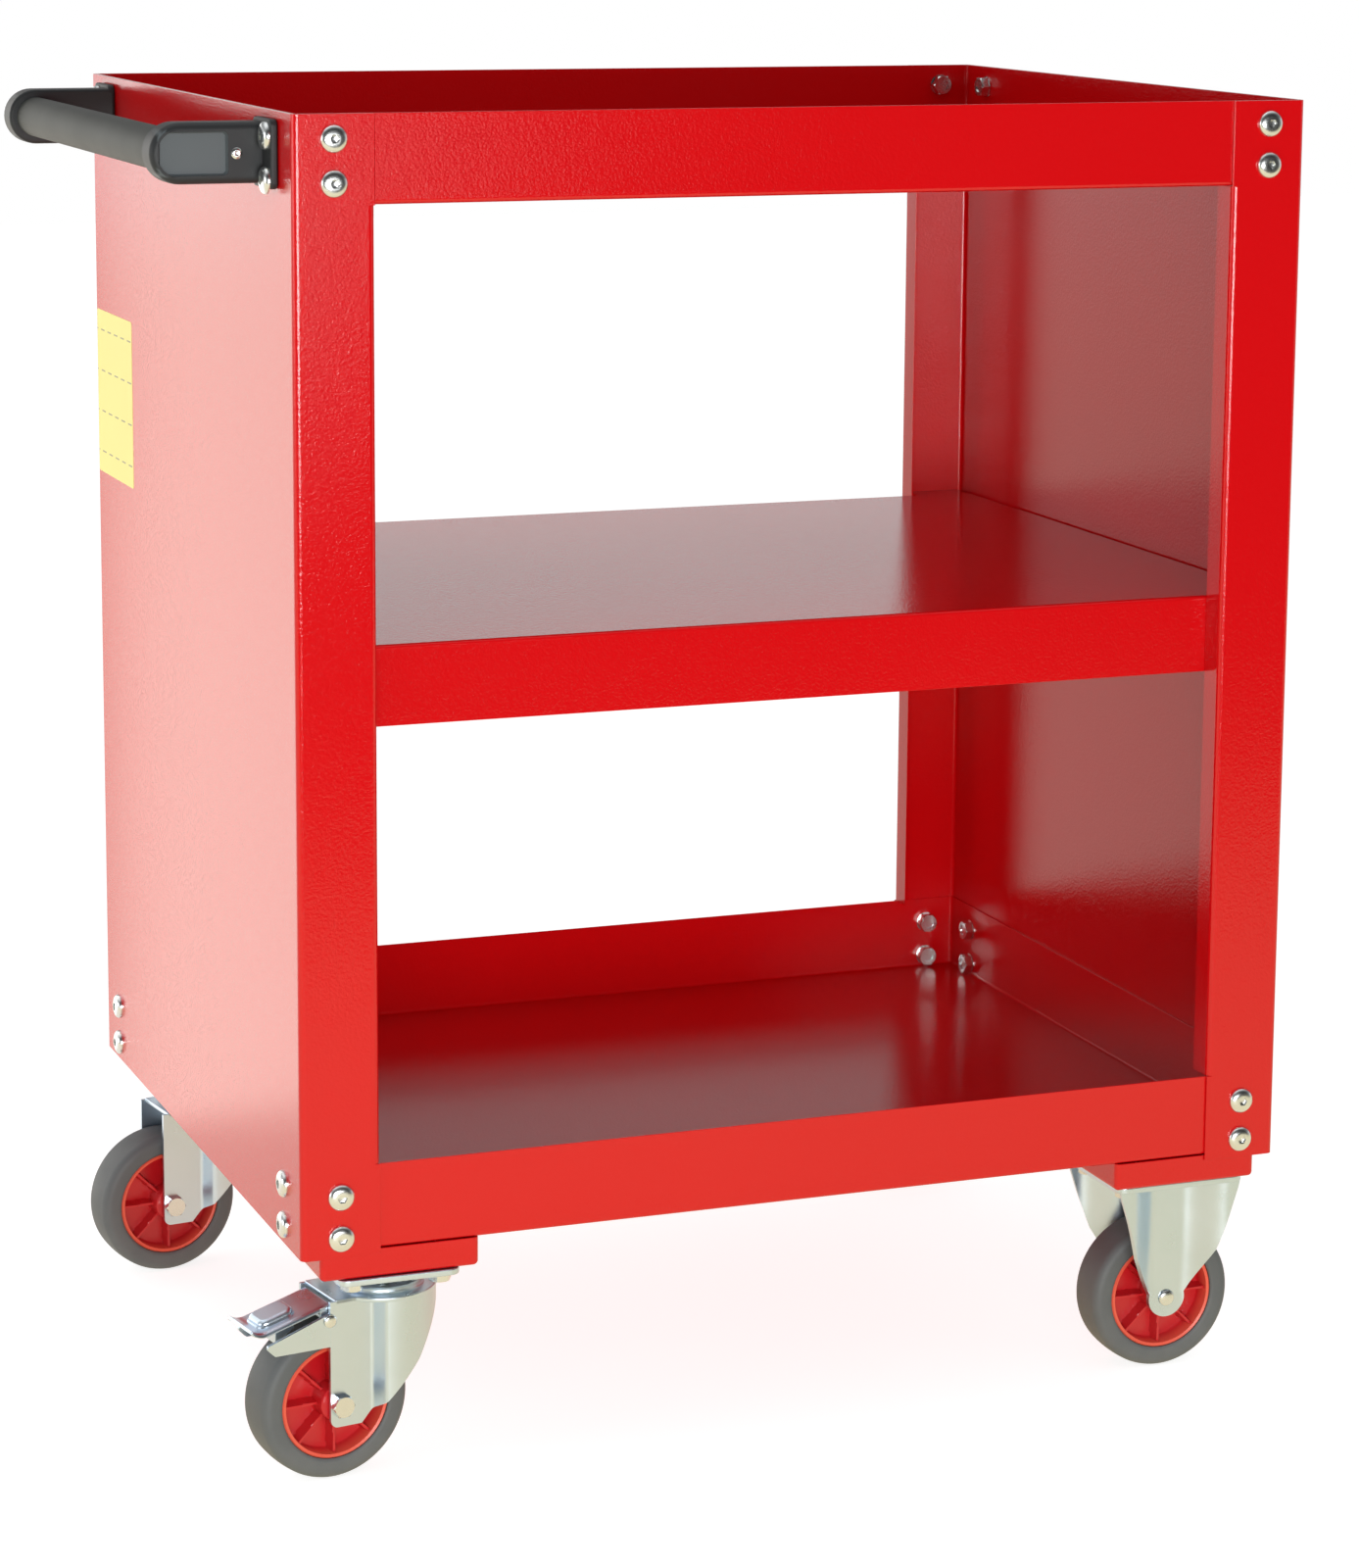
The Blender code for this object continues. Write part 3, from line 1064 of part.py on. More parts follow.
def brake(prefix, matrix):
    """Make the brake pedal with its ears, tread pad and shoe, and the pin it turns on."""
    half = FORK_INNER_Y - PEDAL_CLEARANCE
    pin_spot = (BRAKE_PIN_X, 0, BRAKE_PIN_Z)
    bm = bmesh.new()
    xs = (PEDAL_INNER_X, PEDAL_OUTER_X)
    sheet = [(x, pedal_top(x)) for x in xs] + [(x, pedal_top(x) - PEDAL_SHEET) for x in reversed(xs)]
    add_prism(bm, sheet, AXIS_Y, -half, half)
    pedal = place(prefix + "_brake_pedal", bm, zinc())
    for side in (-1, 1):
        ear = bmesh.new()
        ear_outline = arc(BRAKE_PIN_X, BRAKE_PIN_Z, PEDAL_EAR_RADIUS, pi, 2 * pi, SMALL_STEPS)
        ear_outline += [(x, pedal_top(x) - PEDAL_SHEET / 2)
                        for x in (PEDAL_INNER_X, BRAKE_PIN_X - PEDAL_EAR_RADIUS)]
        ys = sorted((side * (half - PEDAL_SHEET), side * (half - GAP)))
        add_prism(ear, ear_outline, AXIS_Y, *ys)
        unite(pedal, ear)
    shoe = bmesh.new()
    add_shoe(shoe)
    unite(pedal, shoe)
    unite(pedal, tread_pad())
    hole = bmesh.new()
    add_rod(hole, BRAKE_PIN_RADIUS + GAP, AXIS_Y, pin_spot, -FORK_OUTER_Y, FORK_OUTER_Y, SMALL_STEPS)
    subtract(pedal, hole)
    set_in_place([pedal], matrix, pin_spot)
    pin = bmesh.new()
    seat = FORK_OUTER_Y + GAP
    half_profile = [(BRAKE_PIN_RADIUS, seat), (BRAKE_PIN_HEAD_RADIUS, seat),
                    (BRAKE_PIN_HEAD_RADIUS, seat + BRAKE_PIN_HEAD_HEIGHT), (0, seat + BRAKE_PIN_HEAD_HEIGHT)]
    profile = [(radius, -w) for radius, w in reversed(half_profile)] + half_profile
    add_turned(pin, profile, AXIS_Y, pin_spot, SMALL_STEPS)
    set_in_place([place(prefix + "_brake_pin", pin, zinc())], matrix, pin_spot)


def tread_pad():
    """Return the raised pad that the foot presses, standing on the pedal's outer end."""
    bm = bmesh.new()
    slope = atan2(PEDAL_INNER_Z - PEDAL_OUTER_Z, PEDAL_INNER_X - PEDAL_OUTER_X)
    middle_x = PEDAL_OUTER_X + PEDAL_PAD_LENGTH / 2 + PEDAL_PAD_HEIGHT
    base = rounded_rectangle(PEDAL_PAD_LENGTH / 2, PEDAL_PAD_WIDTH / 2, PEDAL_PAD_CORNER, PAD_STEPS)
    crest = rounded_rectangle(PEDAL_PAD_LENGTH / 2 - PEDAL_PAD_HEIGHT, PEDAL_PAD_WIDTH / 2 - PEDAL_PAD_HEIGHT,
                              PEDAL_PAD_CORNER - PEDAL_PAD_HEIGHT, PAD_STEPS)
    seat = Matrix.Translation((middle_x, 0, pedal_top(middle_x))) @ Matrix.Rotation(-slope, 4, "Y")
    rings = [[bm.verts.new(seat @ Vector((u, v, w))) for u, v in outline]
             for outline, w in ((base, -PEDAL_SHEET / 2), (base, 0.0), (crest, PEDAL_PAD_HEIGHT))]
    count = len(base)
    for lower, upper in zip(rings, rings[1:]):
        for i in range(count):
            j = (i + 1) % count
            bm.faces.new((lower[i], lower[j], upper[j], upper[i]))
    bm.faces.new(rings[0][::-1])
    bm.faces.new(rings[-1])
    return bm


def centre_on_bounding_box():
    """Shift everything so that the origin lies under the middle of the whole cart."""
    for obj in bpy.context.scene.objects:
        obj.matrix_world = Matrix.Translation((FRAME_SHIFT_X, 0, 0)) @ obj.matrix_world


def build():
    """Make the whole cart."""
    for old in list(bpy.data.objects):
        bpy.data.objects.remove(old)
    side_panels()
    trays()
    middle_shelf()
    caster_beams()
    frame_bolts()
    handle()
    swivel_caster("front_left", -1, FRONT_LEFT_TURN, braked=True)
    swivel_caster("rear_left", 1, REAR_LEFT_TURN, braked=False)
    fixed_caster("front_right", -1)
    fixed_caster("rear_right", 1)
    centre_on_bounding_box()
    bpy.context.view_layer.update()


build()
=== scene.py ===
"""Utility cart: its visible pieces, their finishes, the studio and the camera."""

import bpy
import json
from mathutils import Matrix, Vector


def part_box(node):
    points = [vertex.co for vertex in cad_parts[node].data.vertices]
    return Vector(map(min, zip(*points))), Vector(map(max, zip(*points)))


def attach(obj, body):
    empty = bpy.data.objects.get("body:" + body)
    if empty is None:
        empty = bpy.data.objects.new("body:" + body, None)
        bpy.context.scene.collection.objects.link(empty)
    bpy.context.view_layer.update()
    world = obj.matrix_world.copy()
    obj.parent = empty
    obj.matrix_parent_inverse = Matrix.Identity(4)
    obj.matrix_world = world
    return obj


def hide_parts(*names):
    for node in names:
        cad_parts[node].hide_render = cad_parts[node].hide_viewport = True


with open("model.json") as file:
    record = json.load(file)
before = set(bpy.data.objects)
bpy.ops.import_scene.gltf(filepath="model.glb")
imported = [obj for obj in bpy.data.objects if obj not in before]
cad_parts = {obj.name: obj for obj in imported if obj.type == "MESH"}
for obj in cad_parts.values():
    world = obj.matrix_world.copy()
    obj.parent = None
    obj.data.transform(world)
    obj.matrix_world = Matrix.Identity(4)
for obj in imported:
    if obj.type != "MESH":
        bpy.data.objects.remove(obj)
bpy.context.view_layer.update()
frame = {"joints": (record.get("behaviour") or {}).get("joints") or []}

import json
import logging
from dataclasses import dataclass
from enum import Enum
from math import atan2, cos, pi, radians, sin
from typing import Any

import bmesh
import bpy
import numpy as np
from mathutils import Matrix, Vector
from numpy.typing import NDArray

LOG = logging.getLogger("utility_cart")
Points = NDArray[np.float64]
Span = tuple[float, float]
Spot = tuple[float, float, float]
Colour = tuple[float, float, float]

GAP = 0.0003                    # clearance where one piece seats on another
EASE = 0.0002                   # the smallest step in a turned or drawn profile
MERGE_DISTANCE = 1e-6
SHARP_ANGLE = radians(38)
FLAT_FACE_WEIGHT = 60
ACROSS_FLATS = cos(pi / 6)      # a hexagon's width across its flats as a share of that across its corners
BOTH_SIDES = (-1, 1)
SCREW_STEPS = 24                # columns round a small screw
PIN_STEPS = 36                  # columns round a bolt or a pin
RACE_STEPS = 60                 # columns round a ball race
BODY_MIDDLE_X = (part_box("left_side_panel")[0].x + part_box("right_side_panel")[1].x) / 2


# Plane outlines and the surfaces drawn from them

def unit(vectors: Points) -> Points:
    """Return each vector divided by its length."""
    return vectors / np.linalg.norm(vectors, axis=-1, keepdims=True)


def quarter_round(radius: float, steps: int) -> tuple[Points, Points]:
    """Return a rounded edge.

    Args:
        radius: Its radius r.
        steps: Its straight steps.

    Returns:
        Its growth, r (sin a - 1), and its rise, r (1 - cos a), for a from 0 to 90 degrees.
    """
    angle = np.linspace(0, pi / 2, steps + 1)
    return radius * (np.sin(angle) - 1), radius * (1 - np.cos(angle))


def dome(radius: float, low: float, high: float, steps: int, flat: float = 0.0) -> Points:
    """Return a quarter ellipse: flat + (radius - flat) cos a out, and low + (high - low) sin a along.

    Args:
        radius: Radius of its rim.
        low: Place of its rim along the axis.
        high: Place of its top along the axis.
        steps: Its straight steps.
        flat: Radius of the flat on its top.

    Returns:
        (radius, place along the axis) for each ring.
    """
    angle = np.linspace(0, pi / 2, steps + 1)
    return np.stack([flat + (radius - flat) * np.cos(angle), low + (high - low) * np.sin(angle)], -1)


def box_corners(low: Span, high: Span) -> list[Span]:
    """Return a rectangle's four corners, anticlockwise from the low one."""
    return [low, (high[0], low[1]), high, (low[0], high[1])]


def turned_by(vectors: Points, angles: Points | float) -> Points:
    """Turn plane vectors anticlockwise: (x cos a - y sin a, x sin a + y cos a).

    Args:
        vectors: Vectors, of shape (..., 2).
        angles: The angle a, for all or for each.

    Returns:
        The turned vectors.
    """
    cosine, sine = np.cos(angles), np.sin(angles)
    x, y = vectors[..., 0], vectors[..., 1]
    return np.stack([x * cosine - y * sine, x * sine + y * cosine], -1)


def corner_arcs(corner: Points, before: Points, after: Points, radius: Points, steps: int) -> tuple[Points, Points]:
    """Round corners with arcs that touch both of the lines that meet there.

    An arc's centre lies one radius to the inside of the arriving line, level with the place where
    that line leaves off, radius times tan(turn / 2) short of the corner.

    Args:
        corner: Corners, one to a row.
        before: The point before each corner.
        after: The point after each corner.
        radius: Radius at each corner.
        steps: Straight steps in each arc.

    Returns:
        Points and outward normals, both of shape (corners, steps + 1, 2).
    """
    arriving, leaving = unit(corner - before), unit(after - corner)
    cross = arriving[:, 0] * leaving[:, 1] - arriving[:, 1] * leaving[:, 0]
    turn = np.arctan2(cross, (arriving * leaving).sum(-1))
    start = corner - arriving * (radius * np.tan(np.abs(turn) / 2))[:, None]
    outward = np.stack([arriving[:, 1], -arriving[:, 0]], -1)
    reach = (radius * np.sign(turn))[:, None]
    normals = turned_by(outward[:, None], turn[:, None] * np.linspace(0, 1, steps + 1))
    return (start - outward * reach)[:, None] + normals * reach[:, None], normals


@dataclass(frozen=True)
class Outline:
    """A closed plane outline, anticlockwise, with the outward normal at each point."""

    points: Points
    normals: Points

    def grown(self, distance: Points | float) -> Points:
        """Return the outline moved outwards: point plus normal times distance."""
        return self.points + self.normals * np.asarray(distance)[..., None, None]


def rounded_outline(corners: Any, radii: Any, steps: int = 8) -> Outline:
    """Round the corners of a closed polygon.

    Args:
        corners: Its corners, anticlockwise.
        radii: One radius for all corners, or one for each.
        steps: Straight steps in each arc.

    Returns:
        The outline.
    """
    corner = np.asarray(corners, float)
    radius = np.broadcast_to(np.asarray(radii, float), len(corner))
    points, normals = corner_arcs(corner, np.roll(corner, 1, 0), np.roll(corner, -1, 0), radius, steps)
    return Outline(points.reshape(-1, 2), normals.reshape(-1, 2))


def rectangle(half_u: float, half_v: float, radius: float, centre: Span = (0.0, 0.0), steps: int = 8) -> Outline:
    """Return a rectangle with rounded corners about a centre."""
    signs = np.array([(-1, -1), (1, -1), (1, 1), (-1, 1)], float)
    return rounded_outline(signs * (half_u, half_v) + np.asarray(centre), radius, steps)


def traced_outline(points: Points) -> Outline:
    """Return a closed outline through points, with normals across the chord from each one's neighbours."""
    chord = unit(np.roll(points, -1, 0) - np.roll(points, 1, 0))
    return Outline(points, np.stack([chord[:, 1], -chord[:, 0]], -1))


def bent_path(corners: Any, radius: float, steps: int = 8) -> Points:
    """Bend an open path of straight lines round each inner corner.

    Args:
        corners: Its ends and corners, in order.
        radius: The bends' radius.
        steps: Straight steps in each bend.

    Returns:
        The path's points.
    """
    path = np.asarray(corners, float)
    arcs, _ = corner_arcs(path[1:-1], path[:-2], path[2:], np.full(len(path) - 2, radius), steps)
    return np.vstack([path[:1], arcs.reshape(-1, 2), path[-1:]])


class Axis(Enum):
    """The axis that a piece is drawn out along or turned about."""

    X = 0
    Y = 1
    Z = 2

    def place(self, plane: Points, along: Points | float) -> Points:
        """Set plane points at a place along this axis.

        Args:
            plane: Two coordinates, in the order of the other axes.
            along: Place along this axis.

        Returns:
            (x, y, z) of each point.
        """
        spots = np.empty((*plane.shape[:-1], 3))
        others = [index for index in range(3) if index != self.value]
        spots[..., others] = plane
        spots[..., self.value] = along
        return spots


@dataclass(frozen=True)
class Seat:
    """Where a sub-assembly stands in the cart: the place of its own origin, and its turn about Z."""

    x: float = BODY_MIDDLE_X
    y: float = 0.0
    z: float = 0.0
    turn: float = 0.0

    def carry(self, points: Points) -> Points:
        """Turn points about Z and move them to the seat.

        Args:
            points: Points counted from the seat, of shape (..., 3).

        Returns:
            The points in the cart's frame.
        """
        moved = points.copy()
        moved[..., :2] = turned_by(points[..., :2], self.turn)
        return moved + (self.x, self.y, self.z)


BODY_SEAT = Seat()


class Surface:
    """Grids of points and flat caps that together make one mesh."""

    def __init__(self, seat: Seat = BODY_SEAT) -> None:
        """Start an empty surface.

        Args:
            seat: The seat that its points are counted from.
        """
        self.seat = seat
        self.points: list[Points] = []
        self.faces: list[list[int]] = []
        self.count = 0

    def add_grid(self, grid: Points, closed: bool = False, keep: NDArray[np.bool_] | None = None) -> NDArray[np.int64]:
        """Add quads over a grid of points.

        Args:
            grid: Points of shape (rows, columns, 3).
            closed: Whether the last column joins the first.
            keep: Which quads are there, of shape (rows - 1, columns - 1).

        Returns:
            The index of each point, of shape (rows, columns).
        """
        rows, columns = grid.shape[:2]
        index = self.count + np.arange(rows * columns).reshape(rows, columns)
        left, right = (index, np.roll(index, -1, 1)) if closed else (index[:, :-1], index[:, 1:])
        quads = np.stack([left[:-1], right[:-1], right[1:], left[1:]], -1)
        self.points.append(self.seat.carry(grid.reshape(-1, 3)))
        self.faces += (quads if keep is None else quads[keep]).reshape(-1, 4).tolist()
        self.count += rows * columns
        return index

    def add_rings(self, grid: Points, caps: tuple[bool, bool] = (True, True)) -> None:
        """Add closed rings of points.

        Args:
            grid: Points of shape (rings, points round a ring, 3).
            caps: Whether the first and the last ring are closed with one flat face.
        """
        index = self.add_grid(grid, closed=True)
        self.faces += [ring.tolist() for ring, wanted in zip((index[0], index[-1]), caps) if wanted]

    def add_stack(self, outline: Outline, rows: Any, axis: Axis, caps: tuple[bool, bool] = (True, True)) -> None:
        """Add rings of one outline, each grown by its own distance at its own place along the axis.

        Args:
            outline: The outline in the plane across the axis.
            rows: (growth, place along the axis) for each ring.
            axis: The axis.
            caps: Whether the first and the last ring are closed.
        """
        growth, along = np.asarray(rows, float).T
        self.add_rings(axis.place(outline.grown(growth), along[:, None]), caps)

    def add_block(self, outline: Outline, low: float, high: float, axis: Axis, edge: float = 0.0006,
                  steps: int = 3) -> None:
        """Add a solid drawn out along an axis, with quarter circles at its edges.

        Args:
            outline: The outline across the axis.
            low: Its lower end along the axis.
            high: Its upper end along the axis.
            axis: The axis.
            edge: The edges' radius.
            steps: Straight steps in each edge.
        """
        growth, rise = quarter_round(edge, steps)
        rows = np.stack([np.append(growth, growth[::-1]), np.append(low + rise, high - rise[::-1])], -1)
        self.add_stack(outline, rows, axis)

    def add_turned(self, profile: Any, axis: Axis, centre: Any = (0.0, 0.0, 0.0), steps: int = 48,
                   hexagon: Any = 0.0, closed: bool = False) -> None:
        """Add a surface turned about an axis, whose rings may be hexagons.

        A ring's radius at angle a is r times (1 - h + h cos 30 / cos(a mod 60 - 30)), in degrees, so h = 0
        gives a circle and h = 1 a hexagon with its corners at r.

        Args:
            profile: (radius, place along the axis) for each ring.
            axis: The axis.
            centre: A point on the axis, from which places along it are counted.
            steps: Columns round the axis, a multiple of six.
            hexagon: h, for all rings or for each one.
            closed: Whether the last ring joins the first.
        """
        rings = np.asarray(profile, float)
        share = np.broadcast_to(np.asarray(hexagon, float), len(rings))
        if closed:
            rings, share = np.vstack([rings, rings[:1]]), np.append(share, share[0])
        angle = np.arange(steps) * 2 * pi / steps
        flat = ACROSS_FLATS / np.cos(np.mod(angle, pi / 3) - pi / 6)
        radius = rings[:, :1] * (1 + share[:, None] * (flat - 1))
        plane = np.stack([radius * np.cos(angle), radius * np.sin(angle)], -1)
        self.add_grid(axis.place(plane, rings[:, 1:]) + np.asarray(centre), closed=True)

    def build(self, name: str) -> bpy.types.Object:
        """Make the mesh, with seams and poles merged and faces outwards.

        Args:
            name: The object's name.

        Returns:
            The linked object.
        """
        mesh = bpy.data.meshes.new(name)
        mesh.from_pydata(np.concatenate(self.points).tolist(), [], self.faces)
        work = bmesh.new()
        work.from_mesh(mesh)
        bmesh.ops.remove_doubles(work, verts=work.verts[:], dist=MERGE_DISTANCE)
        bmesh.ops.recalc_face_normals(work, faces=work.faces[:])
        work.to_mesh(mesh)
        work.free()
        mesh.shade_smooth()
        mesh.set_sharp_from_angle(angle=SHARP_ANGLE)
        piece = bpy.data.objects.new(name, mesh)
        bpy.context.scene.collection.objects.link(piece)
        return piece


def fold_to_sheet(piece: bpy.types.Object, thickness: float, edge: float) -> None:
    """Give a surface the thickness of its sheet, inwards, with softened cut edges and even shading.

    Args:
        piece: The piece, a surface without thickness.
        thickness: The sheet's thickness.
        edge: How much the cut edges are softened.
    """
    wall = piece.modifiers.new("sheet", "SOLIDIFY")
    wall.thickness, wall.offset, wall.use_even_offset = thickness, -1.0, True
    rounding = piece.modifiers.new("cut_edges", "BEVEL")
    rounding.width, rounding.segments, rounding.limit_method = edge, 2, "ANGLE"
    rounding.angle_limit = SHARP_ANGLE
    even_shading(piece)


def point_places(piece: bpy.types.Object) -> Points:
    """Read the places of a mesh's points.

    Args:
        piece: The mesh's object.

    Returns:
        The places, of shape (points, 3).
    """
    spots = np.empty(len(piece.data.vertices) * 3)
    piece.data.vertices.foreach_get("co", spots)
    return spots.reshape(-1, 3)


def mark_points(piece: bpy.types.Object, name: str, share: Points) -> None:
    """Store a value from 0 to 1 on each point."""
    piece.data.attributes.new(name, "FLOAT", "POINT").data.foreach_set("value", share.astype(np.float32))


def even_shading(piece: bpy.types.Object) -> None:
    """Let the large flat faces set the shading at their edges."""
    shading = piece.modifiers.new("flat_faces", "WEIGHTED_NORMAL")
    shading.keep_sharp, shading.weight = True, FLAT_FACE_WEIGHT


# Shader graphs

class Graph:
    """Adds and links the nodes of one material, world or group."""

    def __init__(self, tree: bpy.types.NodeTree) -> None:
        """Work on a node tree."""
        self.tree = tree

    def add(self, kind: str, inputs: dict[Any, Any] | None = None, **settings: Any) -> bpy.types.Node:
        """Add a node.

        Args:
            kind: Its Blender type.
            inputs: A socket, which is linked, or a value, which is set, for each named input.
            settings: Its other settings.

        Returns:
            The node.
        """
        node = self.tree.nodes.new(kind)
        for name, value in settings.items():
            setattr(node, name, value)
        for name, value in (inputs or {}).items():
            if isinstance(value, bpy.types.NodeSocket):
                self.tree.links.new(value, node.inputs[name])
            else:
                node.inputs[name].default_value = value
        return node

    def maths(self, operation: str, first: Any, second: Any = 0.0) -> bpy.types.NodeSocket:
        """Add one sum on two values or sockets, and return its result."""
        return self.add("ShaderNodeMath", {0: first, 1: second}, operation=operation).outputs[0]

    def noise(self, place: Any, scale: Any, detail: float = 2.0) -> bpy.types.NodeSocket:
        """Add a noise texture and return its value, from 0 to 1."""
        return self.add("ShaderNodeTexNoise", {"Vector": place, "Scale": scale, "Detail": detail}).outputs[0]

    def place(self) -> bpy.types.NodeSocket:
        """Return the object coordinates, in metres."""
        return self.add("ShaderNodeTexCoord").outputs["Object"]

    def mix(self, share: Any, first: Any, second: Any) -> bpy.types.NodeSocket:
        """Mix two colours by a share."""
        node = self.add("ShaderNodeMix", {0: share, 6: first, 7: second}, data_type="RGBA")
        return node.outputs[2]

    def carried(self, value: Any, given: Span, low: Any, high: Any, smooth: bool = False) -> bpy.types.NodeSocket:
        """Carry a value from one range to another, held at both ends.

        Args:
            value: The value's socket.
            given: The range that it comes from.
            low: The result at the range's start.
            high: The result at the range's end.
            smooth: Whether it eases in and out.

        Returns:
            The result's socket.
        """
        inputs = {"Value": value, "From Min": given[0], "From Max": given[1], "To Min": low, "To Max": high}
        kind = "SMOOTHSTEP" if smooth else "LINEAR"
        return self.add("ShaderNodeMapRange", inputs, interpolation_type=kind).outputs[0]


def new_group(name: str, inputs: dict[str, Any], outputs: dict[str, str]) -> tuple[Graph, Any, Any]:
    """Make an empty shader group.

    Args:
        name: The group's name.
        inputs: Each input's starting value, a number or a colour.
        outputs: Each output's socket type.

    Returns:
        Its graph, its input node and its output node.
    """
    tree = bpy.data.node_groups.new(name, "ShaderNodeTree")
    for label, value in inputs.items():
        kind = "NodeSocketFloat" if isinstance(value, float) else "NodeSocketColor"
        tree.interface.new_socket(label, in_out="INPUT", socket_type=kind).default_value = value
    for label, kind in outputs.items():
        tree.interface.new_socket(label, in_out="OUTPUT", socket_type=kind)
    graph = Graph(tree)
    return graph, graph.add("NodeGroupInput"), graph.add("NodeGroupOutput")


def grain_group() -> bpy.types.NodeTree:
    """Make the group for a fine relief: coarse noise plus a share of fine noise.

    Returns:
        The group.
    """
    graph, given, result = new_group("surface_grain", {"Coarse Scale": 300.0, "Fine Scale": 1200.0, "Fine Share": 0.3},
                                     {"Height": "NodeSocketFloat"})
    spot = graph.place()
    coarse = graph.noise(spot, given.outputs["Coarse Scale"], detail=1.0)
    fine = graph.maths("MULTIPLY", graph.noise(spot, given.outputs["Fine Scale"]), given.outputs["Fine Share"])
    graph.tree.links.new(graph.maths("ADD", coarse, fine), result.inputs["Height"])
    return graph.tree


def drift_group() -> bpy.types.NodeTree:
    """Make the group for a slow drift from one colour towards another, with its mask.

    Returns:
        The group.
    """
    white = (1.0, 1.0, 1.0, 1.0)
    graph, given, result = new_group("tone_drift", {"Colour": white, "Second Colour": white, "Scale": 5.0,
                                                    "Share": 0.5},
                                     {"Colour": "NodeSocketColor", "Mask": "NodeSocketFloat"})
    mask = graph.noise(graph.place(), given.outputs["Scale"], detail=3.0)
    share = graph.maths("MULTIPLY", mask, given.outputs["Share"])
    mixed = graph.mix(share, given.outputs["Colour"], given.outputs["Second Colour"])
    graph.tree.links.new(mixed, result.inputs["Colour"])
    graph.tree.links.new(mask, result.inputs["Mask"])
    return graph.tree


def dust_group() -> bpy.types.NodeTree:
    """Make the group for a trace of floor dust that thins out with height.

    Returns:
        The group.
    """
    pale = (0.5, 0.48, 0.45, 1.0)
    graph, given, result = new_group("floor_dust", {"Colour": pale, "Dust Colour": pale, "Height": 0.05,
                                                    "Amount": 0.1},
                                     {"Colour": "NodeSocketColor", "Mask": "NodeSocketFloat"})
    spot = graph.place()
    height = graph.add("ShaderNodeSeparateXYZ", {0: spot}).outputs["Z"]
    near = graph.maths("SUBTRACT", 1.0, graph.maths("DIVIDE", height, given.outputs["Height"]))
    patchy = graph.maths("MULTIPLY", graph.noise(spot, scale=60.0, detail=4.0), given.outputs["Amount"])
    share = graph.add("ShaderNodeMath", {0: near, 1: patchy}, operation="MULTIPLY", use_clamp=True).outputs[0]
    graph.tree.links.new(graph.mix(share, given.outputs["Colour"], given.outputs["Dust Colour"]),
                         result.inputs["Colour"])
    graph.tree.links.new(share, result.inputs["Mask"])
    return graph.tree


@dataclass(frozen=True)
class Coating:
    """One finish: its two tones, its gloss and the relief of its surface."""

    slot: str
    tone: Colour
    second_tone: Colour
    drift_scale: float = 6.0
    drift_share: float = 0.6
    roughness: float = 0.3
    roughness_drift: float = 0.1
    metallic: float = 0.0
    refraction: float = 1.5
    coarse_scale: float = 400.0
    fine_scale: float = 1600.0
    fine_share: float = 0.3
    relief: float = 0.0001
    dust: float = 0.0
    dust_height: float = 0.06

    def material(self, groups: dict[str, bpy.types.NodeTree]) -> bpy.types.Material:
        """Build the finish as a node material.

        Args:
            groups: The shared groups by name.

        Returns:
            The material.
        """
        made = bpy.data.materials.new(self.slot)
        made.use_nodes = True
        graph = Graph(made.node_tree)
        shader = made.node_tree.nodes["Principled BSDF"]
        links = made.node_tree.links
        drift = graph.add("ShaderNodeGroup", node_tree=groups["drift"])
        for name, value in (("Colour", (*self.tone, 1)), ("Second Colour", (*self.second_tone, 1)),
                            ("Scale", self.drift_scale), ("Share", self.drift_share)):
            drift.inputs[name].default_value = value
        colour = self.marked(graph, drift.outputs["Colour"])
        if self.dust:
            dust = graph.add("ShaderNodeGroup", node_tree=groups["dust"])
            links.new(colour, dust.inputs["Colour"])
            dust.inputs["Height"].default_value = self.dust_height
            dust.inputs["Amount"].default_value = self.dust
            colour = dust.outputs["Colour"]
        links.new(colour, shader.inputs["Base Color"])
        rough = graph.carried(drift.outputs["Mask"], (0.0, 1.0), self.roughness, self.roughness + self.roughness_drift)
        links.new(rough, shader.inputs["Roughness"])
        grain = graph.add("ShaderNodeGroup", node_tree=groups["grain"])
        for name, value in (("Coarse Scale", self.coarse_scale), ("Fine Scale", self.fine_scale),
                            ("Fine Share", self.fine_share)):
            grain.inputs[name].default_value = value
        bump = graph.add("ShaderNodeBump", {"Height": grain.outputs["Height"], "Distance": self.relief})
        links.new(bump.outputs["Normal"], shader.inputs["Normal"])
        shader.inputs["Metallic"].default_value = self.metallic
        shader.inputs["IOR"].default_value = self.refraction
        return made

    def marked(self, graph: Graph, colour: bpy.types.NodeSocket) -> bpy.types.NodeSocket:
        """Return the colour with this finish's own marks and any painted highlight, of which a plain one has none."""
        return colour


@dataclass(frozen=True)
class MarkedPlastic(Coating):
    """Moulded plastic with a paler part where a point attribute of the mesh is high: the bracket's own paler recess
    floor, and the hub's painted highlight along its rim edges.
    """

    mark: str = ""
    mark_tone: Colour = (1.0, 1.0, 1.0)

    def marked(self, graph: Graph, colour: bpy.types.NodeSocket) -> bpy.types.NodeSocket:
        """Return the colour with the paler part."""
        share = graph.add("ShaderNodeAttribute", attribute_name=self.mark).outputs["Fac"]
        return graph.mix(share, colour, (*self.mark_tone, 1))


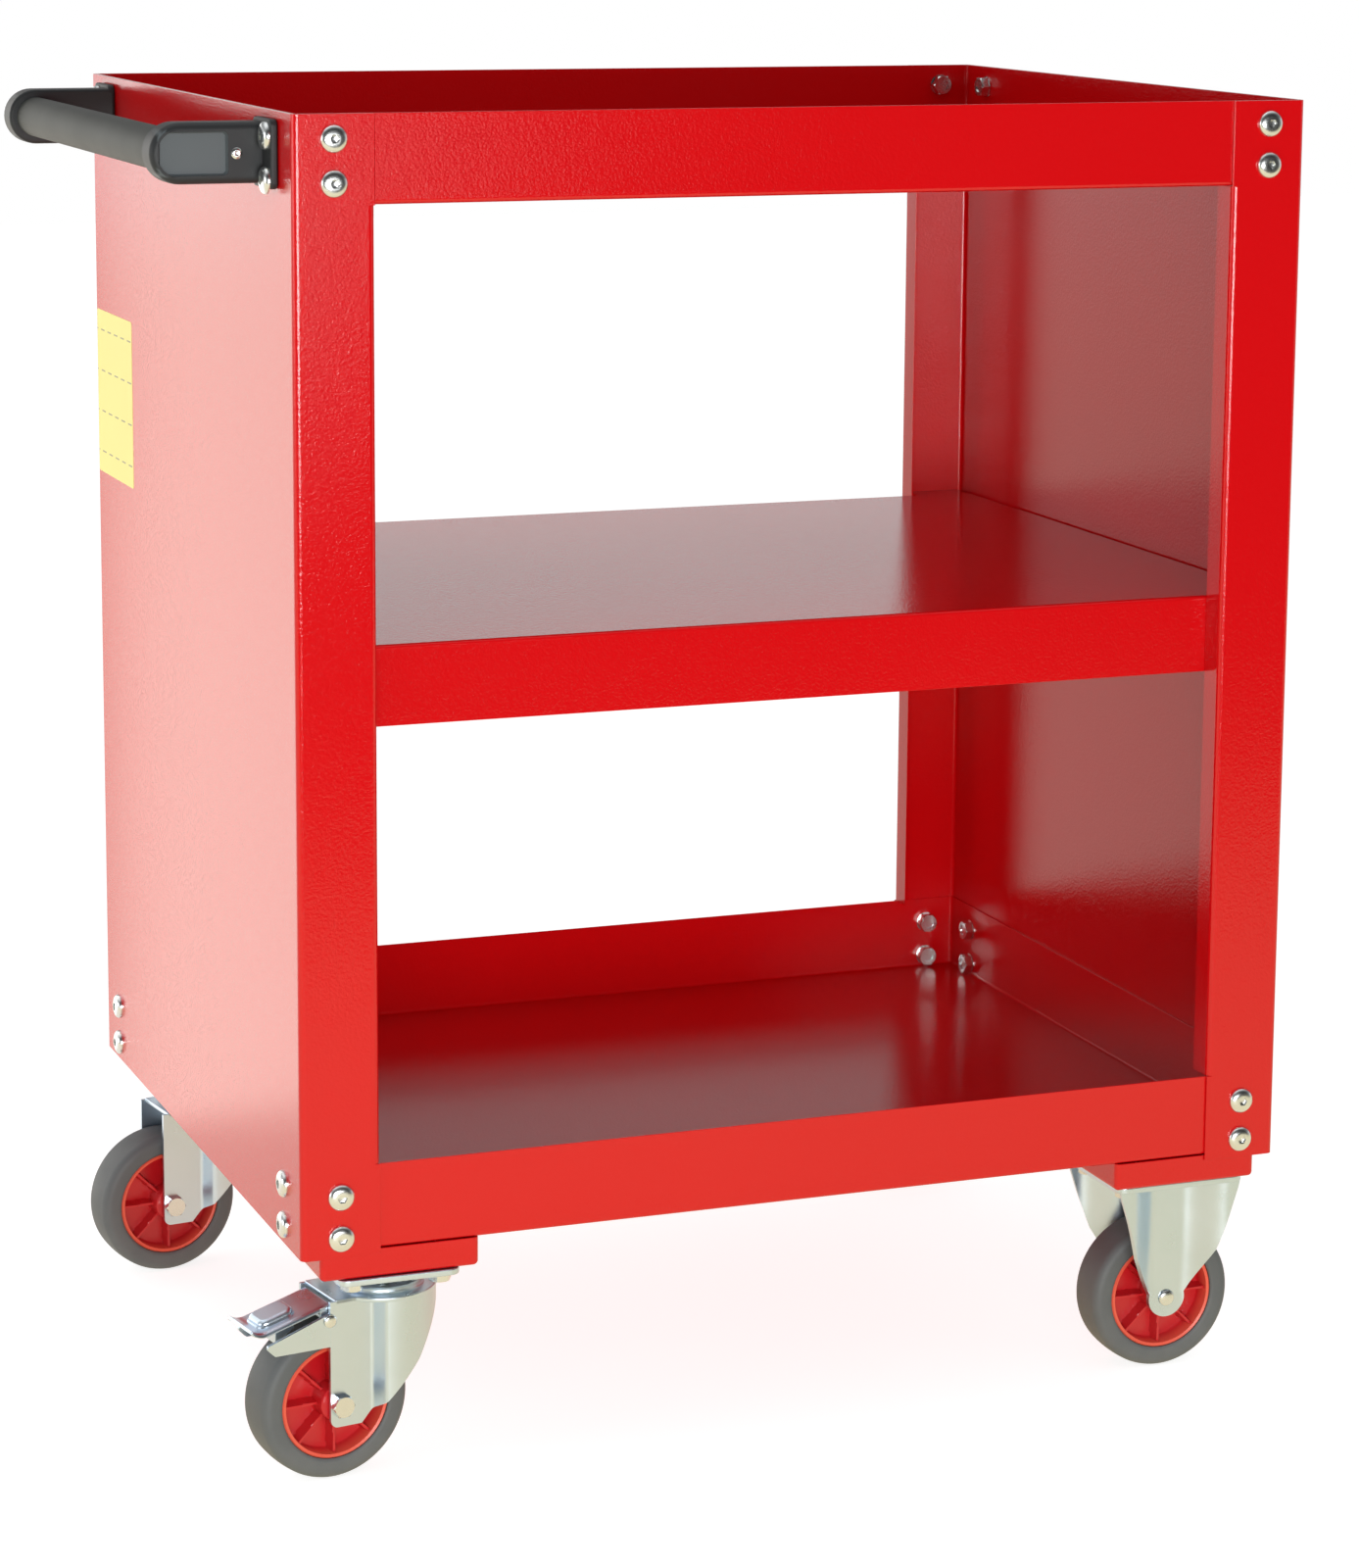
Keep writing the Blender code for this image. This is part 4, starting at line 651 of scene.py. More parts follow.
@dataclass(frozen=True)
class RuledSticker(Coating):
    """A plain sticker with broken ruled lines and no words."""

    rule_tone: Colour = (0.30, 0.26, 0.16)
    rule_pitch: float = 0.0282
    rule_width: float = 0.0010
    dash_pitch: float = 0.019
    dash_share: float = 0.55
    first_rule: float = 0.5802

    def marked(self, graph: Graph, colour: bpy.types.NodeSocket) -> bpy.types.NodeSocket:
        """Add ruled lines, where (z - first) mod pitch is small, cut into dashes along y.

        Args:
            graph: The material's graph.
            colour: The plain colour.

        Returns:
            The ruled colour.
        """
        split = graph.add("ShaderNodeSeparateXYZ", {0: graph.place()})
        rise = graph.maths("SUBTRACT", split.outputs["Z"], self.first_rule)
        across = graph.maths("FLOORED_MODULO", rise, self.rule_pitch)
        line = graph.maths("LESS_THAN", across, self.rule_width)
        step = graph.maths("FLOORED_MODULO", split.outputs["Y"], self.dash_pitch)
        dash = graph.maths("LESS_THAN", step, self.dash_pitch * self.dash_share)
        return graph.mix(graph.maths("MULTIPLY", line, dash), colour, (*self.rule_tone, 1))


class Finish(Enum):
    """The cart's finishes."""

    PAINT = Coating("body_paint", (0.63, 0.0026, 0.0048), (0.57, 0.0020, 0.0040), drift_scale=2.2, drift_share=0.5,
                    roughness=0.10, roughness_drift=0.05, coarse_scale=620.0, fine_scale=1500.0, fine_share=0.35,
                    relief=0.00013)
    ZINC_SHEET = Coating("caster_steel", (0.58, 0.70, 0.83), (0.69, 0.78, 0.88), drift_scale=34.0, drift_share=0.8,
                         roughness=0.22, roughness_drift=0.16, metallic=1.0, coarse_scale=420.0, fine_scale=2600.0,
                         relief=0.00003, dust=0.05)
    ZINC_SMALL = Coating("fasteners", (0.78, 0.80, 0.79), (0.66, 0.70, 0.72), drift_scale=90.0, roughness=0.20,
                         roughness_drift=0.12, metallic=1.0, coarse_scale=900.0, relief=0.00002)
    STEEL_BRIGHT = Coating("bearing", (0.55, 0.56, 0.56), (0.48, 0.48, 0.46), drift_scale=120.0, roughness=0.12,
                           metallic=1.0, relief=0.00001)
    BRACKET = MarkedPlastic("handle_bracket", (0.017, 0.019, 0.021), (0.024, 0.027, 0.029), drift_scale=30.0,
                            roughness=0.42, roughness_drift=0.12, refraction=1.42, coarse_scale=1500.0,
                            fine_scale=3200.0, fine_share=0.5, relief=0.00006, mark="recess_floor",
                            mark_tone=(0.088, 0.104, 0.112))
    GRIP = Coating("handle_grip", (0.052, 0.056, 0.050), (0.042, 0.045, 0.042), drift_scale=16.0, roughness=0.52,
                   roughness_drift=0.12, refraction=1.38, coarse_scale=1100.0, fine_scale=2600.0, relief=0.00004)
    TYRE = Coating("tyre", (0.098, 0.108, 0.114), (0.080, 0.088, 0.094), drift_scale=45.0, roughness=0.48,
                   roughness_drift=0.16, coarse_scale=700.0, fine_scale=2400.0, relief=0.00008, dust=0.14,
                   dust_height=0.10)
    # the hub's paler orange tone on its rim edges is a painted highlight
    HUB = MarkedPlastic("wheel_hub", (0.58, 0.006, 0.012), (0.47, 0.004, 0.009), drift_scale=40.0, roughness=0.26,
                        roughness_drift=0.10, coarse_scale=700.0, relief=0.00005, dust=0.08, dust_height=0.08,
                        mark="painted_rim_highlight", mark_tone=(0.80, 0.10, 0.055))
    STICKER = RuledSticker("sticker", (0.88, 0.80, 0.22), (0.84, 0.76, 0.26), drift_scale=25.0, roughness=0.42,
                           coarse_scale=900.0, relief=0.00002)

    @property
    def slot(self) -> str:
        """Return the record's name for this finish."""
        return self.value.slot


class Fitter:
    """Gives each built piece its material and its body, and hides the CAD solids that it stands for."""

    def __init__(self) -> None:
        """Build the shared groups and every finish once."""
        groups = {"grain": grain_group(), "drift": drift_group(), "dust": dust_group()}
        self.materials = {finish: finish.value.material(groups) for finish in Finish}

    def fit(self, surface: Surface, name: str, finish: Finish, body: str, *nodes: str) -> bpy.types.Object:
        """Build one piece and fit it.

        Args:
            surface: The piece's surface.
            name: The piece's name.
            finish: Its finish.
            body: The body that it moves with.
            nodes: The CAD nodes that it stands for.

        Returns:
            The piece.
        """
        piece = surface.build(name)
        piece.data.materials.append(self.materials[finish])
        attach(piece, body)
        if nodes:
            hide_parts(*nodes)
        if finish is not Finish.STICKER:
            finish.slot
        LOG.info("%s on %s: %d faces", name, body, len(piece.data.polygons))
        return piece


# Body of folded sheet

@dataclass
class Pan:
    """A folded tray: a flat floor, walls on all sides and round bends, open at the top or underneath."""

    half_x: float
    half_y: float
    floor: float
    rim: float
    bend: float = 0.003
    corner: float = 0.0036
    centre_x: float = 0.0
    steps: int = 6

    def surface(self) -> Surface:
        """Make the outside: rings of a rounded rectangle that follow floor, bend and wall.

        Returns:
            The surface.
        """
        made = Surface()
        up = 1.0 if self.rim > self.floor else -1.0
        growth, rise = quarter_round(self.bend, self.steps)
        rows = np.stack([np.append(growth, 0), np.append(self.floor + up * rise, self.rim)], -1)
        made.add_stack(rectangle(self.half_x, self.half_y, self.corner, (self.centre_x, 0)), rows, Axis.Z,
                       (True, False))
        return made


@dataclass
class SheetBody:
    """The painted body: two folded side panels, two trays, the middle shelf and the castor beams."""

    half_width: float = 0.331
    half_depth: float = 0.254
    bottom: float = 0.150
    top: float = 0.840
    panel_sheet: float = 0.0015
    panel_bend: float = 0.004
    lip_face: float = 0.281
    lip_end: float = 0.234
    lip_low: float = 0.2069
    lip_high: float = 0.7864
    tray_sheet: float = 0.0012
    tray_half_x: float = 0.3292
    tray_half_y: float = 0.2522
    tray_height: float = 0.0533
    bottom_tray_floor: float = 0.1533
    shelf_top: float = 0.522
    shelf_skirt: float = 0.0495
    shelf_half_y: float = 0.2337
    shelf_bend: float = 0.0025
    beam_half_x: float = 0.0505
    beam_centre: float = 0.268
    beam_bottom: float = 0.135
    beam_sheet: float = 0.002
    ear_corner: float = 0.001
    cut_edge: float = 0.0003
    bend_steps: int = 8

    def side_panel(self, side: int) -> Surface:
        """Make the outside of one panel: its plan carried up in z.

        Beside the trays the plan runs straight to the post's edge and the lips are cut away; between
        them it bends round into the lips.

        Args:
            side: -1 for the left panel, 1 for the right one.

        Returns:
            The surface.
        """
        x, y = side * self.half_width, self.half_depth
        lip = side * self.lip_face
        corners = [(lip, -self.lip_end), (lip, -y), (x, -y), (x, y), (lip, y), (lip, self.lip_end)]
        bent = bent_path(corners, self.panel_bend, self.bend_steps)
        last = self.bend_steps + 1
        flat = bent.copy()
        flat[1:last + 1] = np.linspace((lip, -y), bent[last], last)
        flat[-last - 1:-1] = np.linspace(bent[-last - 1], (lip, y), last)
        flat[0], flat[-1] = flat[1], flat[-2]
        levels = np.array([self.bottom, self.lip_low, self.lip_low, self.lip_high, self.lip_high, self.top])
        plans = np.stack([flat, flat, bent, bent, flat, flat])
        keep = np.ones((len(levels) - 1, len(bent) - 1), bool)
        keep[[1, 3]] = False
        keep[np.ix_([0, 4], [0, -1])] = False
        made = Surface()
        made.add_grid(Axis.Z.place(plans, levels[:, None]), keep=keep)
        return made

    def shelf_ears(self) -> Surface:
        """Make the four flat ears by which the shelf reaches into the posts.

        Returns:
            The surface.
        """
        made = Surface()
        margin = self.panel_bend
        half_x = (self.half_width - margin - self.lip_face - margin) / 2
        inner = self.shelf_half_y - 2 * self.shelf_bend
        half_y = (self.tray_half_y - inner) / 2
        low, high = self.shelf_top - self.tray_sheet + EASE, self.shelf_top - EASE
        for sx in BOTH_SIDES:
            for sy in BOTH_SIDES:
                centre = (sx * (self.lip_face + margin + half_x), sy * (inner + half_y))
                made.add_block(rectangle(half_x, half_y, self.ear_corner, centre, 2), low, high, Axis.Z, EASE, 1)
        return made

    def fit(self, fitter: Fitter) -> None:
        """Build and fit the body's sheets.

        Args:
            fitter: Builds each piece, gives it its finish and body, and hides its nodes.
        """
        for name, side in (("left", -1), ("right", 1)):
            panel = fitter.fit(self.side_panel(side), name + "_panel_sheet", Finish.PAINT, "root", name + "_side_panel")
            fold_to_sheet(panel, self.panel_sheet, self.cut_edge)
            beam = Pan(self.beam_half_x, self.tray_half_y, self.beam_bottom, self.bottom_tray_floor - GAP,
                       centre_x=side * self.beam_centre)
            piece = fitter.fit(beam.surface(), name + "_beam_channel", Finish.PAINT, "root", name + "_caster_beam")
            fold_to_sheet(piece, self.beam_sheet, self.cut_edge)
        for level, floor in (("top", self.top - self.tray_height), ("bottom", self.bottom_tray_floor)):
            tray = Pan(self.tray_half_x, self.tray_half_y, floor, floor + self.tray_height)
            piece = fitter.fit(tray.surface(), level + "_tray_sheet", Finish.PAINT, "root", level + "_tray")
            fold_to_sheet(piece, self.tray_sheet, self.cut_edge)
        shelf = Pan(self.tray_half_x, self.shelf_half_y, self.shelf_top, self.shelf_top - self.shelf_skirt,
                    self.shelf_bend)
        piece = fitter.fit(shelf.surface(), "middle_shelf_sheet", Finish.PAINT, "root", "middle_shelf")
        fold_to_sheet(piece, self.tray_sheet, self.cut_edge)
        fitter.fit(self.shelf_ears(), "middle_shelf_ears", Finish.PAINT, "root", "middle_shelf")


# Fasteners

@dataclass
class ButtonBolt:
    """A dome-headed bolt with a hexagon socket, its washer and its nut."""

    head_radius: float = 0.0084
    head_height: float = 0.0040
    crown_share: float = 0.42
    skirt: float = 0.0007
    socket_radius: float = 0.0030
    socket_depth: float = 0.0022
    shank_radius: float = 0.0040
    washer_radius: float = 0.0075
    washer_thickness: float = 0.0008
    nut_radius: float = 0.0075
    nut_height: float = 0.0060
    nut_chamfer: float = 0.0007
    dome_steps: int = 6
    steps: int = 36

    def add(self, made: Surface, axis: Axis, sign: float, spot: Any, face: float, seat: float) -> None:
        """Add one bolt through a wall.

        The head's dome is a quarter ellipse from its skirt up to the flat round the socket.

        Args:
            made: The surface to add to.
            axis: The bolt's axis.
            sign: The direction of the head along the axis.
            spot: A point on the axis, with 0 along it.
            face: The head's seat, along the axis.
            seat: The washer's seat on the wall's inner side.
        """
        top = face + self.head_height
        head = dome(self.head_radius, face + self.skirt, top, self.dome_steps, self.head_radius * self.crown_share)
        end = seat - self.washer_thickness - self.nut_height + self.nut_chamfer
        rings = [(0, end), (self.shank_radius, end), (self.shank_radius, face), (self.head_radius, face), *head,
                 (self.socket_radius, top), (self.socket_radius, top - self.socket_depth),
                 (0, top - self.socket_depth - self.socket_radius / 4)]
        hexagon = [0.0] * (len(rings) - 3) + [1.0, 1.0, 0.0]
        self.turn(made, rings, hexagon, axis, sign, spot, False)
        washer_low = seat - self.washer_thickness
        bore = self.shank_radius
        self.turn(made, [(bore, seat), (self.washer_radius, seat), (self.washer_radius, washer_low),
                         (bore, washer_low)], 0.0, axis, sign, spot, True)
        nut_low = washer_low - self.nut_height
        narrow = self.nut_radius * ACROSS_FLATS
        self.turn(made, [(bore, washer_low), (self.nut_radius, washer_low),
                         (self.nut_radius, nut_low + self.nut_chamfer), (narrow, nut_low), (bore, nut_low)],
                  [0.0, 1.0, 1.0, 0.0, 0.0], axis, sign, spot, True)

    def turn(self, made: Surface, rings: Any, hexagon: Any, axis: Axis, sign: float, spot: Any, closed: bool) -> None:
        """Add one turned part of the bolt, with its places along the axis counted towards the head."""
        profile = np.asarray(rings, float) * (1, sign)
        made.add_turned(profile, axis, spot, self.steps, hexagon, closed)


@dataclass
class FrameBolts:
    """The bolt pairs at the corners of both trays."""

    post_x: float = 0.306
    side_y: float = 0.216
    spacing: float = 0.026
    top_pair: float = 0.8125
    bottom_pair: float = 0.1755
    half_width: float = 0.331
    half_depth: float = 0.254
    tray_wall_x: float = 0.3280
    tray_wall_y: float = 0.2510
    flange: float = 0.0048

    def fit(self, fitter: Fitter) -> None:
        """Build and fit all pairs; those at the handle sit on its flanges.

        Args:
            fitter: Builds each piece, gives it its finish and body, and hides its nodes.
        """
        for level, z in (("top", self.top_pair), ("bottom", self.bottom_pair)):
            for end, sy in (("front", -1), ("rear", 1)):
                for side, sx in (("left", -1), ("right", 1)):
                    name = f"{end}_{side}_{level}"
                    flange = self.flange if (side, level) == ("left", "top") else 0.0
                    self.fit_pair(fitter, name + "_post_bolts", Axis.Y, sy, (sx * self.post_x, 0, z),
                                  self.half_depth, self.tray_wall_y)
                    self.fit_pair(fitter, name + "_side_bolts", Axis.X, sx, (0, sy * self.side_y, z),
                                  self.half_width + flange, self.tray_wall_x)

    def fit_pair(self, fitter: Fitter, name: str, axis: Axis, sign: int, middle: Any, face: float, seat: float) -> None:
        """Build and fit one pair, one bolt above the other.

        Args:
            fitter: Builds each piece, gives it its finish and body, and hides its nodes.
            name: The pair's name.
            axis: The bolts' axis.
            sign: The direction of the heads along it.
            middle: The middle between the bolts, with 0 along the axis.
            face: The heads' seat.
            seat: The washers' seat.
        """
        made = Surface()
        for step in (-0.5, 0.5):
            spot = np.asarray(middle, float) + (0, 0, step * self.spacing)
            ButtonBolt().add(made, axis, sign, spot, face, seat)
        piece = fitter.fit(made, name + "_domed", Finish.ZINC_SMALL, "root", name)
        even_shading(piece)


# Push handle

@dataclass
class PushHandle:
    """The push handle: two moulded brackets with their screws, and the grip tube between them."""

    root_x: float = -0.3313
    end_x: float = -0.403
    height: float = 0.815
    outer_y: float = 0.2070
    inner_y: float = 0.1850
    half_height: float = 0.018
    grip_radius: float = 0.013
    socket_depth: float = 0.012
    recess_from_end: float = 0.0055
    recess_length: float = 0.041
    recess_half: float = 0.0128
    recess_corner: float = 0.0065
    recess_depth: float = 0.003
    neck_screw_x: float = -0.3514
    edge: float = 0.0042
    inner_edge: float = 0.0022
    root_corner: float = 0.0045
    recess_root_corner: float = 0.003
    recess_edge: float = 0.0003
    recess_draft: float = 0.001
    mark_margin: float = 0.0004
    flange_half_y: float = 0.020
    flange_half_z: float = 0.0205
    flange_corner: float = 0.004
    flange_edge: float = 0.0012
    flange_thickness: float = 0.0045
    flange_middle: float = 0.2054
    grip_wall: float = 0.002
    screw_length: float = 0.007
    screw_shank: float = 0.0017
    screw_head: float = 0.0034
    screw_rise: float = 0.0016
    screw_rim: float = 0.0005
    screw_slope: float = 0.0008
    screw_lip: float = 0.0005
    screw_drive: float = 0.0010
    screw_drive_depth: float = 0.0009
    arc_steps: int = 10
    edge_steps: int = 6
    grip_steps: int = 72

    def bracket(self, side: int) -> Surface:
        """Make one bracket.

        The arm's outline is carried across its width with a rounded edge at each side. On the outer face the
        last ring passes over, point to point, into the recess's outline and down to its floor.

        Args:
            side: -1 for the front one, 1 for the rear one.

        Returns:
            The surface.
        """
        made = Surface()
        end_round, start = self.half_height - EASE / 2, self.end_x + self.recess_from_end
        arm = rounded_outline(box_corners((self.end_x, self.height - self.half_height),
                                          (self.root_x, self.height + self.half_height)),
                              [end_round, self.root_corner, self.root_corner, end_round], self.arc_steps)
        recess = rounded_outline(box_corners((start, self.height - self.recess_half),
                                             (start + self.recess_length, self.height + self.recess_half)),
                                 [self.recess_corner, self.recess_root_corner, self.recess_root_corner,
                                  self.recess_corner], self.arc_steps)
        inner_growth, inner_rise = quarter_round(self.inner_edge, self.edge_steps)
        outer_growth, outer_rise = quarter_round(self.edge, self.edge_steps)
        growth = np.append(inner_growth, outer_growth[::-1])
        along = np.append(self.inner_y + inner_rise, self.outer_y - outer_rise[::-1])
        rings = [Axis.Y.place(arm.grown(growth), side * along[:, None])]
        step, floor = self.recess_edge, self.outer_y - self.recess_depth
        for growth, along in ((step, self.outer_y), (0.0, self.outer_y - step), (-2 * EASE, floor + 2 * step),
                              (-self.recess_draft, floor)):
            rings.append(Axis.Y.place(recess.grown(growth), side * along)[None])
        made.add_rings(np.concatenate(rings))
        flange = rectangle(self.flange_half_y, self.flange_half_z, self.flange_corner,
                           (side * self.flange_middle, self.height), self.edge_steps)
        made.add_block(flange, self.root_x - self.flange_thickness, self.root_x, Axis.X, self.flange_edge)
        return made

    def mark_recess(self, piece: bpy.types.Object) -> None:
        """Mark the points inside the recess, below the outer face.

        Args:
            piece: The bracket.
        """
        spots = point_places(piece)
        x = spots[:, 0] - BODY_MIDDLE_X
        y = np.abs(spots[:, 1])
        start = self.end_x + self.recess_from_end
        inside = (x > start - self.mark_margin) & (x < start + self.recess_length + self.mark_margin)
        inside &= np.abs(spots[:, 2] - self.height) < self.recess_half + self.mark_margin
        inside &= (y < self.outer_y - self.recess_edge / 2) & (y > (self.inner_y + self.outer_y) / 2)
        mark_points(piece, "recess_floor", inside.astype(float))

    def grip(self) -> Surface:
        """Make the grip: a tube whose ends reach into the brackets' sockets.

        Returns:
            The surface.
        """
        made = Surface()
        reach = self.inner_y + self.socket_depth - GAP
        bore = self.grip_radius - self.grip_wall
        made.add_turned([(bore, -reach), (self.grip_radius, -reach), (self.grip_radius, -self.inner_y),
                         (self.grip_radius, self.inner_y), (self.grip_radius, reach), (bore, reach)], Axis.Y,
                        (self.end_x + self.half_height, 0, self.height), self.grip_steps, closed=True)
        return made

    def neck_screw(self, side: int) -> Surface:
        """Make the small pan-headed screw in a bracket's neck.

        Args:
            side: -1 for the front one, 1 for the rear one.

        Returns:
            The surface.
        """
        made = Surface()
        end, seat, top = self.outer_y - self.screw_length, self.outer_y + GAP, self.outer_y + self.screw_rise
        rings = [(0, end), (self.screw_shank, end), (self.screw_shank, seat), (self.screw_head, seat),
                 (self.screw_head, seat + self.screw_rim), (self.screw_head - self.screw_slope, top - EASE),
                 (self.screw_drive + self.screw_lip, top), (self.screw_drive + EASE / 2, top - EASE),
                 (self.screw_drive, top - self.screw_drive_depth), (0, top - self.screw_drive_depth - EASE / 2)]
        hexagon = [0.0] * (len(rings) - 3) + [1.0, 1.0, 0.0]
        spot = (self.neck_screw_x, 0, self.height)
        made.add_turned(np.asarray(rings) * (1, side), Axis.Y, spot, SCREW_STEPS, hexagon)
        return made

    def fit(self, fitter: Fitter) -> None:
        """Build and fit the handle.

        Args:
            fitter: Builds each piece, gives it its finish and body, and hides its nodes.
        """
        for end, side in (("front", -1), ("rear", 1)):
            piece = fitter.fit(self.bracket(side), f"handle_arm_{end}", Finish.BRACKET, "root", "handle_bracket_" + end)
            self.mark_recess(piece)
            even_shading(piece)
            fitter.fit(self.neck_screw(side), f"handle_screw_{end}", Finish.ZINC_SMALL, "root",
                       "handle_neck_screw_" + end)
        fitter.fit(self.grip(), "handle_grip", Finish.GRIP, "root", "handle_grip_tube")


# Wheels and castors

@dataclass
class Wheel:
    """A castor's wheel: a solid tyre on a ribbed hub."""

    radius: float = 0.050
    half_width: float = 0.016
    shoulder: float = 0.006
    seat_radius: float = 0.0365
    bead: tuple[Span, ...] = ((0.0, 0.0012), (0.0008, 0.0003), (0.0022, 0.0))
    crown: float = 0.0005
    tread_steps: int = 8
    rim_radius: float = 0.0362
    rim_wall: float = 0.0027
    rim_half: float = 0.0150
    boss_radius: float = 0.0113
    bore_radius: float = 0.0063
    boss_half: float = 0.0180
    boss_chamfer: Span = (0.0006, 0.0007)
    rim_chamfer: float = 0.0008
    web_half: float = 0.0030
    web_fillet: float = 0.0010
    rib_half: float = 0.0115
    rib_width: float = 0.0026
    rib_fade: float = 0.0006
    rib_count: int = 8
    rib_rows: int = 8
    # the band of painted highlight on the rim's edges
    highlight_depth: float = 0.0012
    mark_margin: float = 0.0004
    steps: int = 120

    def tyre(self, seat: Seat, axle: Any) -> Surface:
        """Make the tyre: a flat side, a quarter-circle shoulder and a slightly crowned tread, turned.

        Args:
            seat: Where the castor's turning part stands.
            axle: The axle's middle, counted from the seat.

        Returns:
            The surface.
        """
        made = Surface(seat)
        angle = np.linspace(0, pi / 2, self.tread_steps + 1)
        level = self.half_width - self.shoulder
        wall = self.radius - self.crown - self.shoulder
        shoulder = np.stack([wall + self.shoulder * np.sin(angle), level + self.shoulder * np.cos(angle)], -1)
        across = np.linspace(level, -level, self.tread_steps + 1)[1:-1]
        tread = np.stack([self.radius - self.crown * (across / level) ** 2, across], -1)
        bead = np.array(self.bead) * (1, -1) + (self.seat_radius, self.half_width)
        half = np.vstack([bead, shoulder])
        made.add_turned(np.vstack([half, tread, half[::-1] * (1, -1)]), Axis.Y, axle, self.steps, closed=True)
        return made

    def hub(self, seat: Seat, axle: Any) -> Surface:
        """Make the hub.

        Its half thickness over the web is the web's, raised to the ribs' where the angle lies within half a
        rib's width of a rib; the boss and the rim stand at both ends of the radius.

        Args:
            seat: Where the castor's turning part stands.
            axle: The axle's middle, counted from the seat.

        Returns:
            The surface.
        """
        made = Surface(seat)
        angle = np.arange(self.steps * 2) * pi / self.steps
        inner = self.rim_radius - self.rim_wall
        radius = np.linspace(self.boss_radius + self.web_fillet + EASE, inner - self.web_fillet, self.rib_rows)
        offset = (np.mod(angle * self.rib_count / (2 * pi) + 0.5, 1.0) - 0.5) * 2 * pi / self.rib_count
        arc = np.abs(offset)[None, :] * radius[:, None]
        rib = np.clip((self.rib_width / 2 - arc) / self.rib_fade + 0.5, 0, 1)
        rib = rib * rib * (3 - 2 * rib)
        web = self.web_half + (self.rib_half - self.web_half) * rib
        foot = self.web_half + self.web_fillet
        rows = [(self.bore_radius, 0.0), (self.bore_radius, self.boss_half),
                (self.boss_radius - self.boss_chamfer[0], self.boss_half),
                (self.boss_radius, self.boss_half - self.boss_chamfer[1]),
                (self.boss_radius + EASE, np.maximum(web[0], foot)), *zip(radius, web),
                (inner - EASE, np.maximum(web[-1], foot)), (inner + GAP, self.rim_half - self.rim_chamfer + EASE),
                (self.rim_radius - self.rim_chamfer, self.rim_half),
                (self.rim_radius, self.rim_half - self.rim_chamfer), (self.rim_radius, 0.0)]
        half = np.array([np.broadcast_to(row[1], angle.shape) for row in rows])
        plane = np.array([row[0] for row in rows])[:, None, None] * np.stack([np.cos(angle), np.sin(angle)], -1)
        for sign in BOTH_SIDES:
            made.add_grid(Axis.Y.place(plane, sign * half) + np.asarray(axle), closed=True)
        return made

    def paint_rim_highlight(self, piece: bpy.types.Object, centre: Points, turn: float) -> None:
        """Mark the points on the rim's two edges, which get the hub's painted highlight, by their distance out from the
        axle and along it.

        Args:
            piece: The hub.
            centre: The axle's middle in the cart's frame.
            turn: The castor's turn about Z.
        """
        away = point_places(piece) - centre
        along = away @ np.array([-sin(turn), cos(turn), 0.0])
        outwards = np.sqrt(np.maximum((away ** 2).sum(1) - along ** 2, 0))
        inner = self.rim_radius - self.rim_wall
        near_face = np.abs(along) > self.rim_half - self.highlight_depth
        mark_points(piece, "painted_rim_highlight", near_face * np.clip((outwards - inner) / self.mark_margin + 1, 0, 1))

    def fit(self, fitter: Fitter, prefix: str, seat: Seat, axle: Any) -> None:
        """Build and fit one wheel.

        Args:
            fitter: Builds each piece, gives it its finish and body, and hides its nodes.
            prefix: The castor's name.
            seat: Where the castor's turning part stands.
            axle: The axle's middle, counted from the seat.
        """
        body = prefix + "_wheel"
        fitter.fit(self.tyre(seat, axle), prefix + "_tread", Finish.TYRE, body, prefix + "_tyre")
        hub = fitter.fit(self.hub(seat, axle), prefix + "_spoked_hub", Finish.HUB, body, prefix + "_hub")
        self.paint_rim_highlight(hub, seat.carry(np.asarray(axle, float)), seat.turn)


